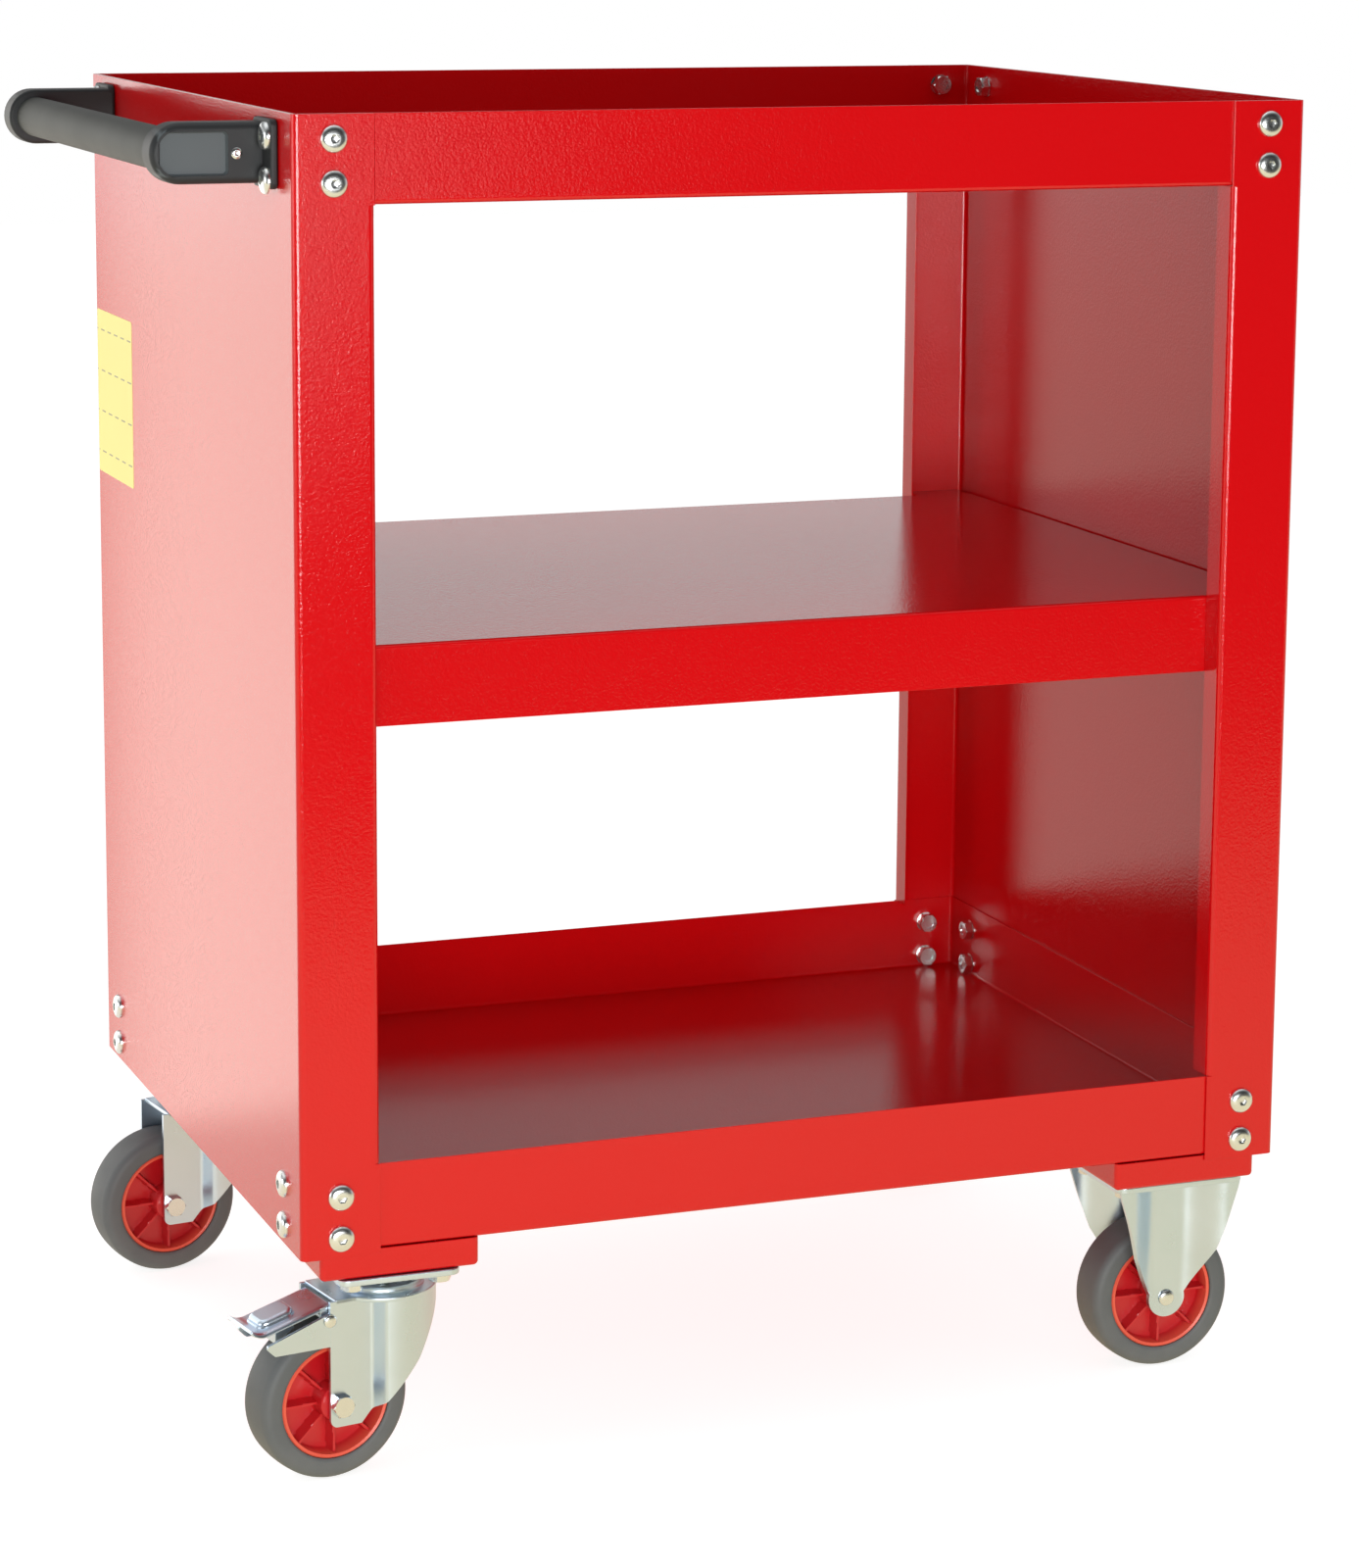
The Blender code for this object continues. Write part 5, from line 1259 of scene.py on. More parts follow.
@dataclass
class Caster:
    """What all castors share: the top plate with its screws, and the wheel."""

    prefix: str
    x: float
    y: float
    turn: float
    plate_top: float = 0.1347
    plate_thickness: float = 0.004
    plate_corner: float = 0.007
    plate_edge: float = 0.0007
    plate_x: float = 0.078
    plate_y: float = 0.090
    hole_x: float = 0.056
    hole_y: float = 0.068
    wheel_radius: float = 0.050
    fork_inner: float = 0.0195
    fork_outer: float = 0.022
    fork_sheet: float = 0.0025
    fork_edge: float = 0.0005
    axle_radius: float = 0.004
    sleeve_bore: float = 0.0043
    sleeve_radius: float = 0.0060
    screw_head: float = 0.0073
    screw_height: float = 0.0053
    screw_radius: float = 0.004
    screw_chamfer: float = 0.0007
    tapped_low: float = 0.1373
    tapped_high: float = 0.1413
    tapped_margin: float = 0.006
    tapped_corner: float = 0.001
    tapped_edge: float = 0.0004

    @property
    def still(self) -> Seat:
        """Return the seat of what doesn't swivel."""
        return Seat(self.x, self.y)

    @property
    def turned(self) -> Seat:
        """Return the seat of what swivels, at rest."""
        return Seat(self.x, self.y, 0.0, self.turn)

    def add_plate(self, made: Surface) -> None:
        """Add the flat top plate.

        Args:
            made: The surface to add to.
        """
        outline = rectangle(self.plate_x / 2, self.plate_y / 2, self.plate_corner)
        made.add_block(outline, self.plate_top - self.plate_thickness, self.plate_top, Axis.Z,
                       self.plate_edge)

    def screws(self) -> Surface:
        """Make the four hexagon screws under the plate, and the tapped plate above it.

        Returns:
            The surface.
        """
        made = Surface(self.still)
        seat = self.plate_top - self.plate_thickness - GAP
        low = seat - self.screw_height + GAP
        rings = [(0, self.tapped_low), (self.screw_radius, self.tapped_low), (self.screw_radius, seat),
                 (self.screw_head, seat), (self.screw_head, low + self.screw_chamfer),
                 (self.screw_head * ACROSS_FLATS, low), (0, low + EASE / 2)]
        for sx in BOTH_SIDES:
            for sy in BOTH_SIDES:
                made.add_turned(rings, Axis.Z, (sx * self.hole_x / 2, sy * self.hole_y / 2, 0), SCREW_STEPS,
                                [0.0, 0.0, 0.0, 1.0, 1.0, 0.0, 0.0])
        outline = rectangle(self.hole_x / 2 + self.tapped_margin, self.hole_y / 2 + self.tapped_margin,
                            self.tapped_corner)
        made.add_block(outline, self.tapped_low, self.tapped_high, Axis.Z, self.tapped_edge)
        return made

    def sleeve(self, seat: Seat, axle: Any) -> Surface:
        """Make the bush on which the hub turns.

        Args:
            seat: Where the castor's turning part stands.
            axle: The axle's middle, counted from the seat.

        Returns:
            The surface.
        """
        made = Surface(seat)
        half = self.fork_inner - GAP
        made.add_turned([(self.sleeve_bore, -half), (self.sleeve_radius, -half), (self.sleeve_radius, half),
                         (self.sleeve_bore, half)], Axis.Y, axle, PIN_STEPS, closed=True)
        return made

    def fit_shared(self, fitter: Fitter, seat: Seat, axle: Any, body: str) -> None:
        """Build and fit the wheel, the sleeve and the screws.

        Args:
            fitter: Builds each piece, gives it its finish and body, and hides its nodes.
            seat: Where the castor's turning part stands.
            axle: The axle's middle, counted from the seat.
            body: The body that carries the axle.
        """
        Wheel().fit(fitter, self.prefix, seat, axle)
        fitter.fit(self.sleeve(seat, axle), self.prefix + "_bush", Finish.ZINC_SMALL, body,
                   self.prefix + "_axle_sleeve")
        screws = fitter.fit(self.screws(), self.prefix + "_plate_screws", Finish.ZINC_SMALL, "root",
                            self.prefix + "_caster_screws")
        even_shading(screws)


@dataclass
class FixedCaster(Caster):
    """A castor whose pressed fork is one with its plate, with a riveted axle."""

    plate_x: float = 0.092
    plate_y: float = 0.080
    hole_x: float = 0.070
    hole_y: float = 0.054
    end_radius: float = 0.013
    flank_rise: float = 0.034
    flank_half: float = 0.029
    top_inset: float = 0.002
    wing_start: float = 0.010
    wing_end: float = 0.036
    wing_flare: float = 0.0165
    rivet_radius: float = 0.0055
    rivet_height: float = 0.0022
    rivet_steps: int = 5
    end_turn: float = 0.25
    end_steps: int = 12
    flank_steps: int = 13
    leg_columns: int = 41

    def leg_half(self, rise: Points) -> Points:
        """Work out half the leg's width: a circle below, then two straight flanks.

        Args:
            rise: Heights above the axle.

        Returns:
            Half the width at each height.
        """
        start = self.end_radius / 4
        low = (self.end_radius ** 2 - start ** 2) ** 0.5
        ends = [start, self.flank_rise, self.plate_top - self.plate_thickness - self.wheel_radius]
        flank = np.interp(rise, ends, [low, self.flank_half, self.plate_x / 2 - self.top_inset])
        circle = np.sqrt(np.maximum(self.end_radius ** 2 - rise ** 2, EASE ** 2 / 4))
        return np.where(rise < start, circle, flank)

    def legs(self) -> Surface:
        """Make both legs' outer faces: y = outer + flare times s s (3 - 2 s), s the share of the way out in x.

        Returns:
            The surface.
        """
        made = Surface(self.still)
        low = np.sin(np.linspace(-pi / 2, self.end_turn, self.end_steps)) * self.end_radius
        top = self.plate_top - self.plate_thickness / 2 - self.wheel_radius
        rise = np.append(low, np.linspace(low[-1], top, self.flank_steps + 1)[1:])
        x = self.leg_half(rise)[:, None] * np.linspace(-1, 1, self.leg_columns)
        share = np.clip((np.abs(x) - self.wing_start) / (self.wing_end - self.wing_start), 0, 1)
        y = self.fork_outer + self.wing_flare * share * share * (3 - 2 * share)
        z = np.broadcast_to((rise + self.wheel_radius)[:, None], x.shape)
        for side in BOTH_SIDES:
            made.add_grid(np.stack([x, side * y, z], -1))
        return made

    def rivet(self, axle: Any) -> Surface:
        """Make the axle: a pin with a domed head at each end.

        Args:
            axle: The axle's middle, counted from the seat.

        Returns:
            The surface.
        """
        made = Surface(self.still)
        seat = self.fork_outer + GAP
        head = dome(self.rivet_radius, seat + self.rivet_height / 4, seat + self.rivet_height, self.rivet_steps)
        half = np.vstack([[(self.axle_radius, 0), (self.axle_radius, seat), (self.rivet_radius, seat)], head])
        made.add_turned(np.vstack([half[::-1] * (1, -1), half]), Axis.Y, axle, PIN_STEPS)
        return made

    def fit(self, fitter: Fitter) -> None:
        """Build and fit the castor.

        Args:
            fitter: Builds each piece, gives it its finish and body, and hides its nodes.
        """
        axle = (0.0, 0.0, self.wheel_radius)
        legs = fitter.fit(self.legs(), self.prefix + "_fork_legs", Finish.ZINC_SHEET, "root", self.prefix + "_fork")
        fold_to_sheet(legs, self.fork_sheet, self.fork_edge)
        plate = Surface(self.still)
        self.add_plate(plate)
        piece = fitter.fit(plate, self.prefix + "_top_plate", Finish.ZINC_SHEET, "root", self.prefix + "_fork")
        even_shading(piece)
        fitter.fit(self.rivet(axle), self.prefix + "_rivet", Finish.ZINC_SMALL, "root", self.prefix + "_axle_rivet")
        self.fit_shared(fitter, self.still, axle, "root")


@dataclass
class SwivelCaster(Caster):
    """A castor that swivels on a ball race, with an axle bolt."""

    trail: float = 0.038
    head_radius: float = 0.035
    crown_top: float = 0.1175
    crown_bottom: float = 0.1145
    race_radius: float = 0.027
    race_top: float = 0.1210
    upper_race: float = 0.1265
    ball_radius: float = 0.00245
    ball_circle: float = 0.021
    ball_count: int = 24
    kingpin_radius: float = 0.006
    kingpin_head: float = 0.011
    kingpin_gap: float = 0.0005
    kingpin_rim: float = 0.0010
    kingpin_dome: float = 0.0035
    race_round: float = 0.0008
    race_step: float = 0.0004
    race_lip: float = 0.0020
    race_flare: float = 0.0012
    lower_foot: float = 0.0015
    leg_rear: float = 0.007
    leg_end: float = 0.014
    knee_x: float = 0.0106
    knee_rise: float = 0.025
    bolt_head: float = 0.0075
    bolt_height: float = 0.005
    bolt_chamfer: float = 0.0008
    nut_height: float = 0.0065
    thread_end: float = 0.0012
    crown_edge: float = 0.0008
    crown_corner: float = 0.001
    foot_round: float = 0.005
    plan_pitch: float = 0.0005
    plan_lead: float = 0.02
    plan_window: int = 13
    plan_margin: float = 0.002
    head_steps: int = 60
    crown_steps: int = 71
    ball_rows: int = 8
    ball_columns: int = 12
    kingpin_steps: int = 5
    wall_rows: int = 9

    def wall_plan(self) -> Points:
        """Work out the fork's plan, rear end to rear end round the head.

        Straight legs step out to a circle round the head. The plan is resampled every half millimetre and
        averaged over a few millimetres, which rounds its bends; its ends stay where they are.

        Returns:
            Its points.
        """
        wall = self.head_radius - GAP
        step_x = -wall / 3
        start = atan2(-(wall ** 2 - step_x ** 2) ** 0.5, step_x)
        angle = np.linspace(start, -start, self.head_steps + 1)
        arc = wall * np.stack([np.cos(angle), np.sin(angle)], -1)
        rear = -self.trail - self.leg_rear
        flat_x = step_x - 2 * self.fork_sheet
        near = np.array([(rear - self.plan_lead, -self.fork_outer), (flat_x, -self.fork_outer)])
        path = np.vstack([near, arc, near[::-1] * (1, -1)])
        length = np.append(0, np.cumsum(np.linalg.norm(np.diff(path, axis=0), axis=1)))
        even = np.linspace(0, length[-1], int(length[-1] / self.plan_pitch))
        plan = np.stack([np.interp(even, length, path[:, k]) for k in (0, 1)], -1)
        window = np.hanning(self.plan_window)
        kernel = window[1:-1] / window.sum()
        smooth = np.stack([np.convolve(plan[:, k], kernel, "valid") for k in (0, 1)], -1)
        kept = smooth[(smooth[:, 0] > rear) | (np.abs(smooth[:, 1]) < self.fork_outer - self.plan_margin)]
        ends = np.array([(rear, -self.fork_outer), (rear, self.fork_outer)])
        return np.vstack([ends[:1], kept, ends[1:]])

    def foot(self, x: Points) -> Points:
        """Work out the wall's lower edge: level under the axle, up to the knee, then to the head.

        Args:
            x: Places along the fork.

        Returns:
            The edge's height at each place.
        """
        rear = -self.trail - self.leg_rear
        rise_start = -self.trail + self.leg_end
        low = self.wheel_radius - self.leg_end
        knee = self.wheel_radius + self.knee_rise
        line = np.interp(x, [rise_start, self.knee_x, self.head_radius], [low, knee, self.crown_bottom - GAP])
        inside = np.clip(x - rear, 0, self.foot_round)
        return line + self.foot_round - np.sqrt(np.maximum(self.foot_round ** 2 - (self.foot_round - inside) ** 2, 0))

    def wall(self) -> Surface:
        """Make the outside of the fork's wall: the plan carried from its lower edge up to the crown.

        Returns:
            The surface.
        """
        made = Surface(self.turned)
        plan = self.wall_plan()
        foot = self.foot(plan[:, 0])
        top = self.crown_top - self.crown_edge
        heights = foot + (top - foot) * np.linspace(0, 1, self.wall_rows)[:, None]
        made.add_grid(np.concatenate([np.broadcast_to(plan, (self.wall_rows, *plan.shape)), heights[..., None]], -1))
        return made

    def crown(self) -> Surface:
        """Make the fork's crown with the lower race on it.

        Returns:
            The surface.
        """
        made = Surface(self.turned)
        rear, corner = -self.trail - self.leg_rear / 2, self.crown_corner
        meet = pi - atan2(self.fork_outer, (self.head_radius ** 2 - self.fork_outer ** 2) ** 0.5)
        angle = np.linspace(-meet, meet, self.crown_steps + 1)
        arc = self.head_radius * np.stack([np.cos(angle), np.sin(angle)], -1)
        back = np.array([(rear + corner, self.fork_outer), (rear, self.fork_outer - corner),
                         (rear, -self.fork_outer + corner), (rear + corner, -self.fork_outer)])
        outline = traced_outline(np.vstack([arc, back]))
        made.add_block(outline, self.crown_bottom, self.crown_top, Axis.Z, self.crown_edge)
        race, step, gap = self.race_radius, self.race_step, self.kingpin_gap
        made.add_turned([(race + self.lower_foot, self.crown_top - gap), (race + step, self.crown_top + step),
                         (race, self.crown_top + self.race_flare), (race, self.race_top - self.race_round),
                         (race - self.race_round, self.race_top), (race - self.race_lip, self.race_top - step),
                         (self.kingpin_radius + gap, self.race_top - step),
                         (self.kingpin_radius + gap, self.crown_top - gap)], Axis.Z, steps=RACE_STEPS, closed=True)
        return made

    def bearing(self) -> Surface:
        """Make the balls in the race: spheres evenly round one circle.

        Returns:
            The surface.
        """
        made = Surface(self.turned)
        middle = (self.race_top + self.upper_race) / 2
        angle = np.linspace(-pi / 2, pi / 2, self.ball_rows + 1)
        profile = self.ball_radius * np.stack([np.cos(angle), np.sin(angle)], -1)
        for index in range(self.ball_count):
            way = 2 * pi * index / self.ball_count
            spot = (self.ball_circle * cos(way), self.ball_circle * sin(way), middle)
            made.add_turned(profile, Axis.Z, spot, self.ball_columns)
        return made

    def axle_bolt(self, axle: Any) -> Surface:
        """Make the axle bolt, head to the front, with its nut.

        Args:
            axle: The axle's middle, counted from the seat.

        Returns:
            The surface.
        """
        made = Surface(self.turned)
        seat = self.fork_outer + GAP
        head_end, nut_end = seat + self.bolt_height, seat + self.nut_height
        narrow, thread = self.bolt_head * ACROSS_FLATS, nut_end + self.thread_end
        rings = [(0, -head_end + EASE), (narrow, -head_end), (self.bolt_head, -head_end + self.bolt_chamfer),
                 (self.bolt_head, -seat), (self.axle_radius, -seat), (self.axle_radius, seat),
                 (self.bolt_head, seat), (self.bolt_head, nut_end - self.bolt_chamfer), (narrow, nut_end),
                 (self.axle_radius - 2 * EASE, nut_end), (self.axle_radius - 3 * EASE, thread), (0, thread + EASE)]
        hexagon = [0.0, 0.0, 1.0, 1.0, 0.0, 0.0, 1.0, 1.0, 0.0, 0.0, 0.0, 0.0]
        made.add_turned(rings, Axis.Y, axle, PIN_STEPS, hexagon)
        return made

    def plate(self) -> Surface:
        """Make the top plate with the upper race under it.

        Returns:
            The surface.
        """
        made = Surface(self.still)
        self.add_plate(made)
        race, low, bore = self.race_radius, self.upper_race, self.kingpin_radius + GAP
        seat, step = self.plate_top - self.plate_thickness, self.race_step
        made.add_turned([(race + self.race_flare, seat + step), (race, seat - self.race_round),
                         (race, low + self.race_round), (race - self.race_round, low),
                         (race - self.race_lip, low + step), (bore, low + step), (bore, seat + step)],
                        Axis.Z, steps=RACE_STEPS, closed=True)
        return made

    def kingpin(self) -> Surface:
        """Make the kingpin, its domed head under the crown.

        Returns:
            The surface.
        """
        made = Surface(self.still)
        head_top = self.crown_bottom - self.kingpin_gap
        head = dome(self.kingpin_head, head_top - self.kingpin_rim, head_top - self.kingpin_dome, self.kingpin_steps)
        rings = np.vstack([head[::-1], [(self.kingpin_head, head_top), (self.kingpin_radius, head_top),
                                        (self.kingpin_radius, self.plate_top - GAP), (0, self.plate_top - GAP)]])
        made.add_turned(rings, Axis.Z, steps=PIN_STEPS)
        return made

    def fit(self, fitter: Fitter) -> None:
        """Build and fit the castor.

        Args:
            fitter: Builds each piece, gives it its finish and body, and hides its nodes.
        """
        axle = (-self.trail, 0.0, self.wheel_radius)
        body, prefix = self.prefix + "_swivel", self.prefix
        wall = fitter.fit(self.wall(), prefix + "_fork_wall", Finish.ZINC_SHEET, body, prefix + "_fork")
        fold_to_sheet(wall, self.fork_sheet, self.fork_edge)
        crown = fitter.fit(self.crown(), prefix + "_crown", Finish.ZINC_SHEET, body, prefix + "_fork")
        even_shading(crown)
        fitter.fit(self.bearing(), prefix + "_ball_ring", Finish.STEEL_BRIGHT, body, prefix + "_swivel_bearing")
        bolt = fitter.fit(self.axle_bolt(axle), prefix + "_axle_screw", Finish.ZINC_SMALL, body, prefix + "_axle_bolt")
        even_shading(bolt)
        plate = fitter.fit(self.plate(), prefix + "_top_plate", Finish.ZINC_SHEET, "root", prefix + "_plate")
        even_shading(plate)
        fitter.fit(self.kingpin(), prefix + "_pivot", Finish.ZINC_SMALL, "root", prefix + "_kingpin")
        self.fit_shared(fitter, self.turned, axle, body)


@dataclass
class Brake:
    """The foot brake of one swivel castor: arms on the fork, pedal with its pad and shoe, and the pin."""

    caster: SwivelCaster
    pin_behind: float = 0.007
    pin_drop: float = 0.0125
    pin_radius: float = 0.0025
    pin_head: float = 0.0042
    pin_head_height: float = 0.0015
    inner_behind: float = 0.0055
    inner_drop: float = 0.0025
    tip_past: float = 0.007
    fall: float = 0.014
    sheet: float = 0.0022
    half_width: float = 0.0185
    flare_length: float = 0.010
    flare_rise: float = 0.0048
    pad_length: float = 0.026
    pad_width: float = 0.024
    pad_height: float = 0.004
    pad_corner: float = 0.007
    shoe_angle: float = radians(55)
    shoe_gap: float = 0.006
    shoe_half: float = 0.008
    shoe_width: float = 0.020
    shoe_corner: float = 0.0008
    shoe_steps: int = 3
    pedal_bend: float = 0.0028
    bend_steps: int = 5
    flat_steps: int = 6
    slope_steps: int = 8
    tip_start: float = 0.8
    pad_draft: float = 0.0009
    pad_fillet: float = 0.7
    pad_setback: float = 0.7
    pad_steps: int = 6
    corner_steps: int = 6
    pin_rim: float = 0.3
    pin_steps: int = 4
    arm_drop: float = 0.011
    arm_root: float = 0.008
    arm_shoulder: float = 0.003
    arm_heel: float = 0.007
    arm_tip: float = 0.006
    arm_corners: tuple[float, ...] = (0.004, 0.0015, 0.0015, 0.02, 0.0005, 0.0005)
    ear_radius: float = 0.0048
    ear_corners: tuple[float, ...] = (0.0042, 0.003, 0.0004, 0.0004)
    fine_edge: float = 0.0003

    @property
    def ends(self) -> tuple[Points, Points]:
        """Work out where the pedal begins and ends, on its top face.

        Returns:
            Its inner and its outer end, each in (x, z).
        """
        caster = self.caster
        inner = np.array([-caster.trail - self.inner_behind, caster.crown_top - self.inner_drop])
        outer = np.array([-caster.trail - caster.wheel_radius - self.tip_past, inner[1] - self.fall])
        return inner, outer

    def arms(self) -> Surface:
        """Make the two flat arms that carry the pedal.

        Returns:
            The surface.
        """
        caster = self.caster
        made = Surface(caster.turned)
        top, low = caster.crown_bottom, 2 * caster.wheel_radius - self.arm_drop
        neck, tip = -caster.trail / 2, -caster.trail - caster.wheel_radius
        corners = [(-caster.trail - self.arm_heel, low - GAP), (tip + self.arm_tip, low), (tip, low + self.arm_tip),
                   (-caster.trail, top - self.arm_shoulder), (neck, top - GAP), (neck, low - self.arm_root)]
        outline = rounded_outline(corners, self.arm_corners, self.corner_steps)
        self.add_both(made, outline, caster.fork_inner + EASE / 2, caster.fork_outer - EASE / 2)
        return made

    def add_both(self, made: Surface, outline: Outline, near: float, far: float) -> None:
        """Add one flat piece at each side.

        Args:
            made: The surface to add to.
            outline: The piece's outline in (x, z).
            near: Its inner side's distance from the middle.
            far: Its outer side's distance from the middle.
        """
        for low, high in ((-far, -near), (near, far)):
            made.add_block(outline, low, high, Axis.Y, self.fine_edge)

    def pedal(self) -> Surface:
        """Make the pedal's sheet: a slope in x that turns down at both sides and flares up by s s at its tip.

        Returns:
            The surface.
        """
        made = Surface(self.caster.turned)
        inner, outer = self.ends
        share = np.append(np.linspace(0, self.tip_start, self.slope_steps + 1),
                          np.linspace(self.tip_start, 1, self.slope_steps + 1)[1:])[:, None]
        x = inner[0] + (outer[0] - inner[0]) * share
        flare = np.clip((outer[0] + self.flare_length - x) / self.flare_length, 0, 1)
        z = inner[1] + (outer[1] - inner[1]) * share + self.flare_rise * flare ** 2
        growth, rise = quarter_round(self.pedal_bend, self.bend_steps)
        edge = self.half_width + growth
        flat = np.linspace(-edge[0], edge[0], self.flat_steps + 1)[1:-1]
        y = np.concatenate([-edge[::-1], flat, edge])
        drop = -np.concatenate([rise[::-1], np.zeros_like(flat), rise])
        made.add_grid(np.stack(np.broadcast_arrays(x, y, z + drop), -1))
        return made

    def pad_and_shoe(self) -> Surface:
        """Make the raised foot pad on the pedal's top, its ears at the pin and the shoe under it.

        Returns:
            The surface.
        """
        made = Surface(self.caster.turned)
        inner, outer = self.ends
        slope = (outer[1] - inner[1]) / (outer[0] - inner[0])
        middle = outer[0] + self.pad_length / 2 + self.flare_length * self.pad_setback
        base = rectangle(self.pad_length / 2, self.pad_width / 2, self.pad_corner)
        fillet = self.pad_height * self.pad_fillet
        growth, rise = quarter_round(fillet, self.pad_steps)
        rows = np.vstack([[(0.0, -self.sheet / 2), (0.0, 0.0), (-self.pad_draft, self.pad_height - fillet)],
                          np.stack([-self.pad_draft - GAP - rise, self.pad_height + growth], -1)])
        plane = base.grown(rows[:, 0])
        x = middle + plane[..., 0]
        z = outer[1] + slope * (x - outer[0]) + rows[:, 1:]
        made.add_rings(np.stack([x, plane[..., 1], z], -1))
        self.add_shoe(made, inner, slope)
        self.add_ears(made, inner, slope)
        return made

    def add_shoe(self, made: Surface, inner: Points, slope: float) -> None:
        """Add the shoe: its face square to the line from the axle at the shoe's angle.

        Args:
            made: The surface to add to.
            inner: The pedal's inner end in (x, z).
            slope: The pedal's rise for each step in x.
        """
        caster = self.caster
        outward = np.array([-cos(self.shoe_angle), sin(self.shoe_angle)])
        tangent = np.array([sin(self.shoe_angle), cos(self.shoe_angle)])
        axle = np.array([-caster.trail, caster.wheel_radius])
        face = axle + (caster.wheel_radius + self.shoe_gap) * outward + np.outer((-1, 1), self.shoe_half * tangent)
        roof = [(x, inner[1] + slope * (x - inner[0]) - self.sheet / 2) for x, _ in face[::-1]]
        outline = rounded_outline([*face.tolist(), *roof], self.shoe_corner, self.shoe_steps)
        made.add_block(outline, -self.shoe_width / 2, self.shoe_width / 2, Axis.Y)

    def add_ears(self, made: Surface, inner: Points, slope: float) -> None:
        """Add the two ears that hang from the pedal round its pin.

        Args:
            made: The surface to add to.
            inner: The pedal's inner end in (x, z).
            slope: The pedal's rise for each step in x.
        """
        (pin_x, _, pin_z), radius = self.pin_spot, self.ear_radius
        near, roof = inner[0] - EASE, inner[1] - self.sheet / 2
        corners = [(pin_x - radius, pin_z - radius), (near, pin_z - radius), (near, roof),
                   (pin_x - radius, roof - slope * radius)]
        outline = rounded_outline(corners, self.ear_corners, self.corner_steps)
        self.add_both(made, outline, self.half_width - self.sheet, self.half_width - GAP)

    @property
    def pin_spot(self) -> Points:
        """Return the pin's place about the castor's axis."""
        return np.array([-self.caster.trail - self.pin_behind, 0.0, self.caster.crown_top - self.pin_drop])

    def pin(self) -> Surface:
        """Make the pin with its domed heads.

        Returns:
            The surface.
        """
        made = Surface(self.caster.turned)
        seat = self.caster.fork_outer + GAP
        rim = self.pin_head_height * self.pin_rim
        head = dome(self.pin_head, seat + rim, seat + self.pin_head_height, self.pin_steps)
        half = np.vstack([[(self.pin_radius, 0), (self.pin_radius, seat), (self.pin_head, seat)], head])
        made.add_turned(np.vstack([half[::-1] * (1, -1), half]), Axis.Y, self.pin_spot, SCREW_STEPS)
        return made

    def fit(self, fitter: Fitter) -> None:
        """Build and fit the brake.

        Args:
            fitter: Builds each piece, gives it its finish and body, and hides its nodes.
        """
        prefix = self.caster.prefix
        arms = fitter.fit(self.arms(), prefix + "_brake_arms", Finish.ZINC_SHEET, prefix + "_swivel", prefix + "_fork")
        even_shading(arms)
        pedal = fitter.fit(self.pedal(), prefix + "_pedal_sheet", Finish.ZINC_SHEET, prefix + "_brake",
                           prefix + "_brake_pedal")
        fold_to_sheet(pedal, self.sheet, 2 * EASE)
        pad = fitter.fit(self.pad_and_shoe(), prefix + "_pedal_pad", Finish.ZINC_SHEET, prefix + "_brake",
                         prefix + "_brake_pedal")
        even_shading(pad)
        fitter.fit(self.pin(), prefix + "_pedal_pin", Finish.ZINC_SMALL, prefix + "_swivel", prefix + "_brake_pin")


@dataclass
class Sticker:
    """A plain ruled sticker on the left panel, near its rear edge."""

    low_y: float = 0.1490
    high_y: float = 0.2495
    low_z: float = 0.566
    high_z: float = 0.679
    thickness: float = 0.00015
    corner: float = 0.0025
    edge: float = 0.00005
    panel_x: float = -0.331

    def fit(self, fitter: Fitter) -> None:
        """Build and fit the sticker.

        Args:
            fitter: Builds each piece, gives it its finish and body, and hides its nodes.
        """
        made = Surface()
        outline = rectangle((self.high_y - self.low_y) / 2, (self.high_z - self.low_z) / 2, self.corner,
                            ((self.low_y + self.high_y) / 2, (self.low_z + self.high_z) / 2))
        made.add_block(outline, self.panel_x - self.thickness, self.panel_x + self.thickness, Axis.X, self.edge, 1)
        fitter.fit(made, "panel_sticker", Finish.STICKER, "root")


# Studio and camera

@dataclass(frozen=True)
class Lamp:
    """One soft area lamp, aimed at a point and unseen by the camera."""

    name: str
    spot: Spot
    aim: Spot
    size: Span
    power: float
    tone: Colour = (1.0, 1.0, 1.0)

    def build(self) -> None:
        """Add the lamp to the scene."""
        light = bpy.data.lights.new(self.name, "AREA")
        light.shape, light.size, light.size_y, light.energy = "RECTANGLE", *self.size, self.power
        light.color = self.tone
        lamp = bpy.data.objects.new(self.name, light)
        lamp.location = self.spot
        lamp.rotation_euler = (Vector(self.aim) - Vector(self.spot)).to_track_quat("-Z", "Y").to_euler()
        lamp.visible_camera = False
        bpy.context.scene.collection.objects.link(lamp)


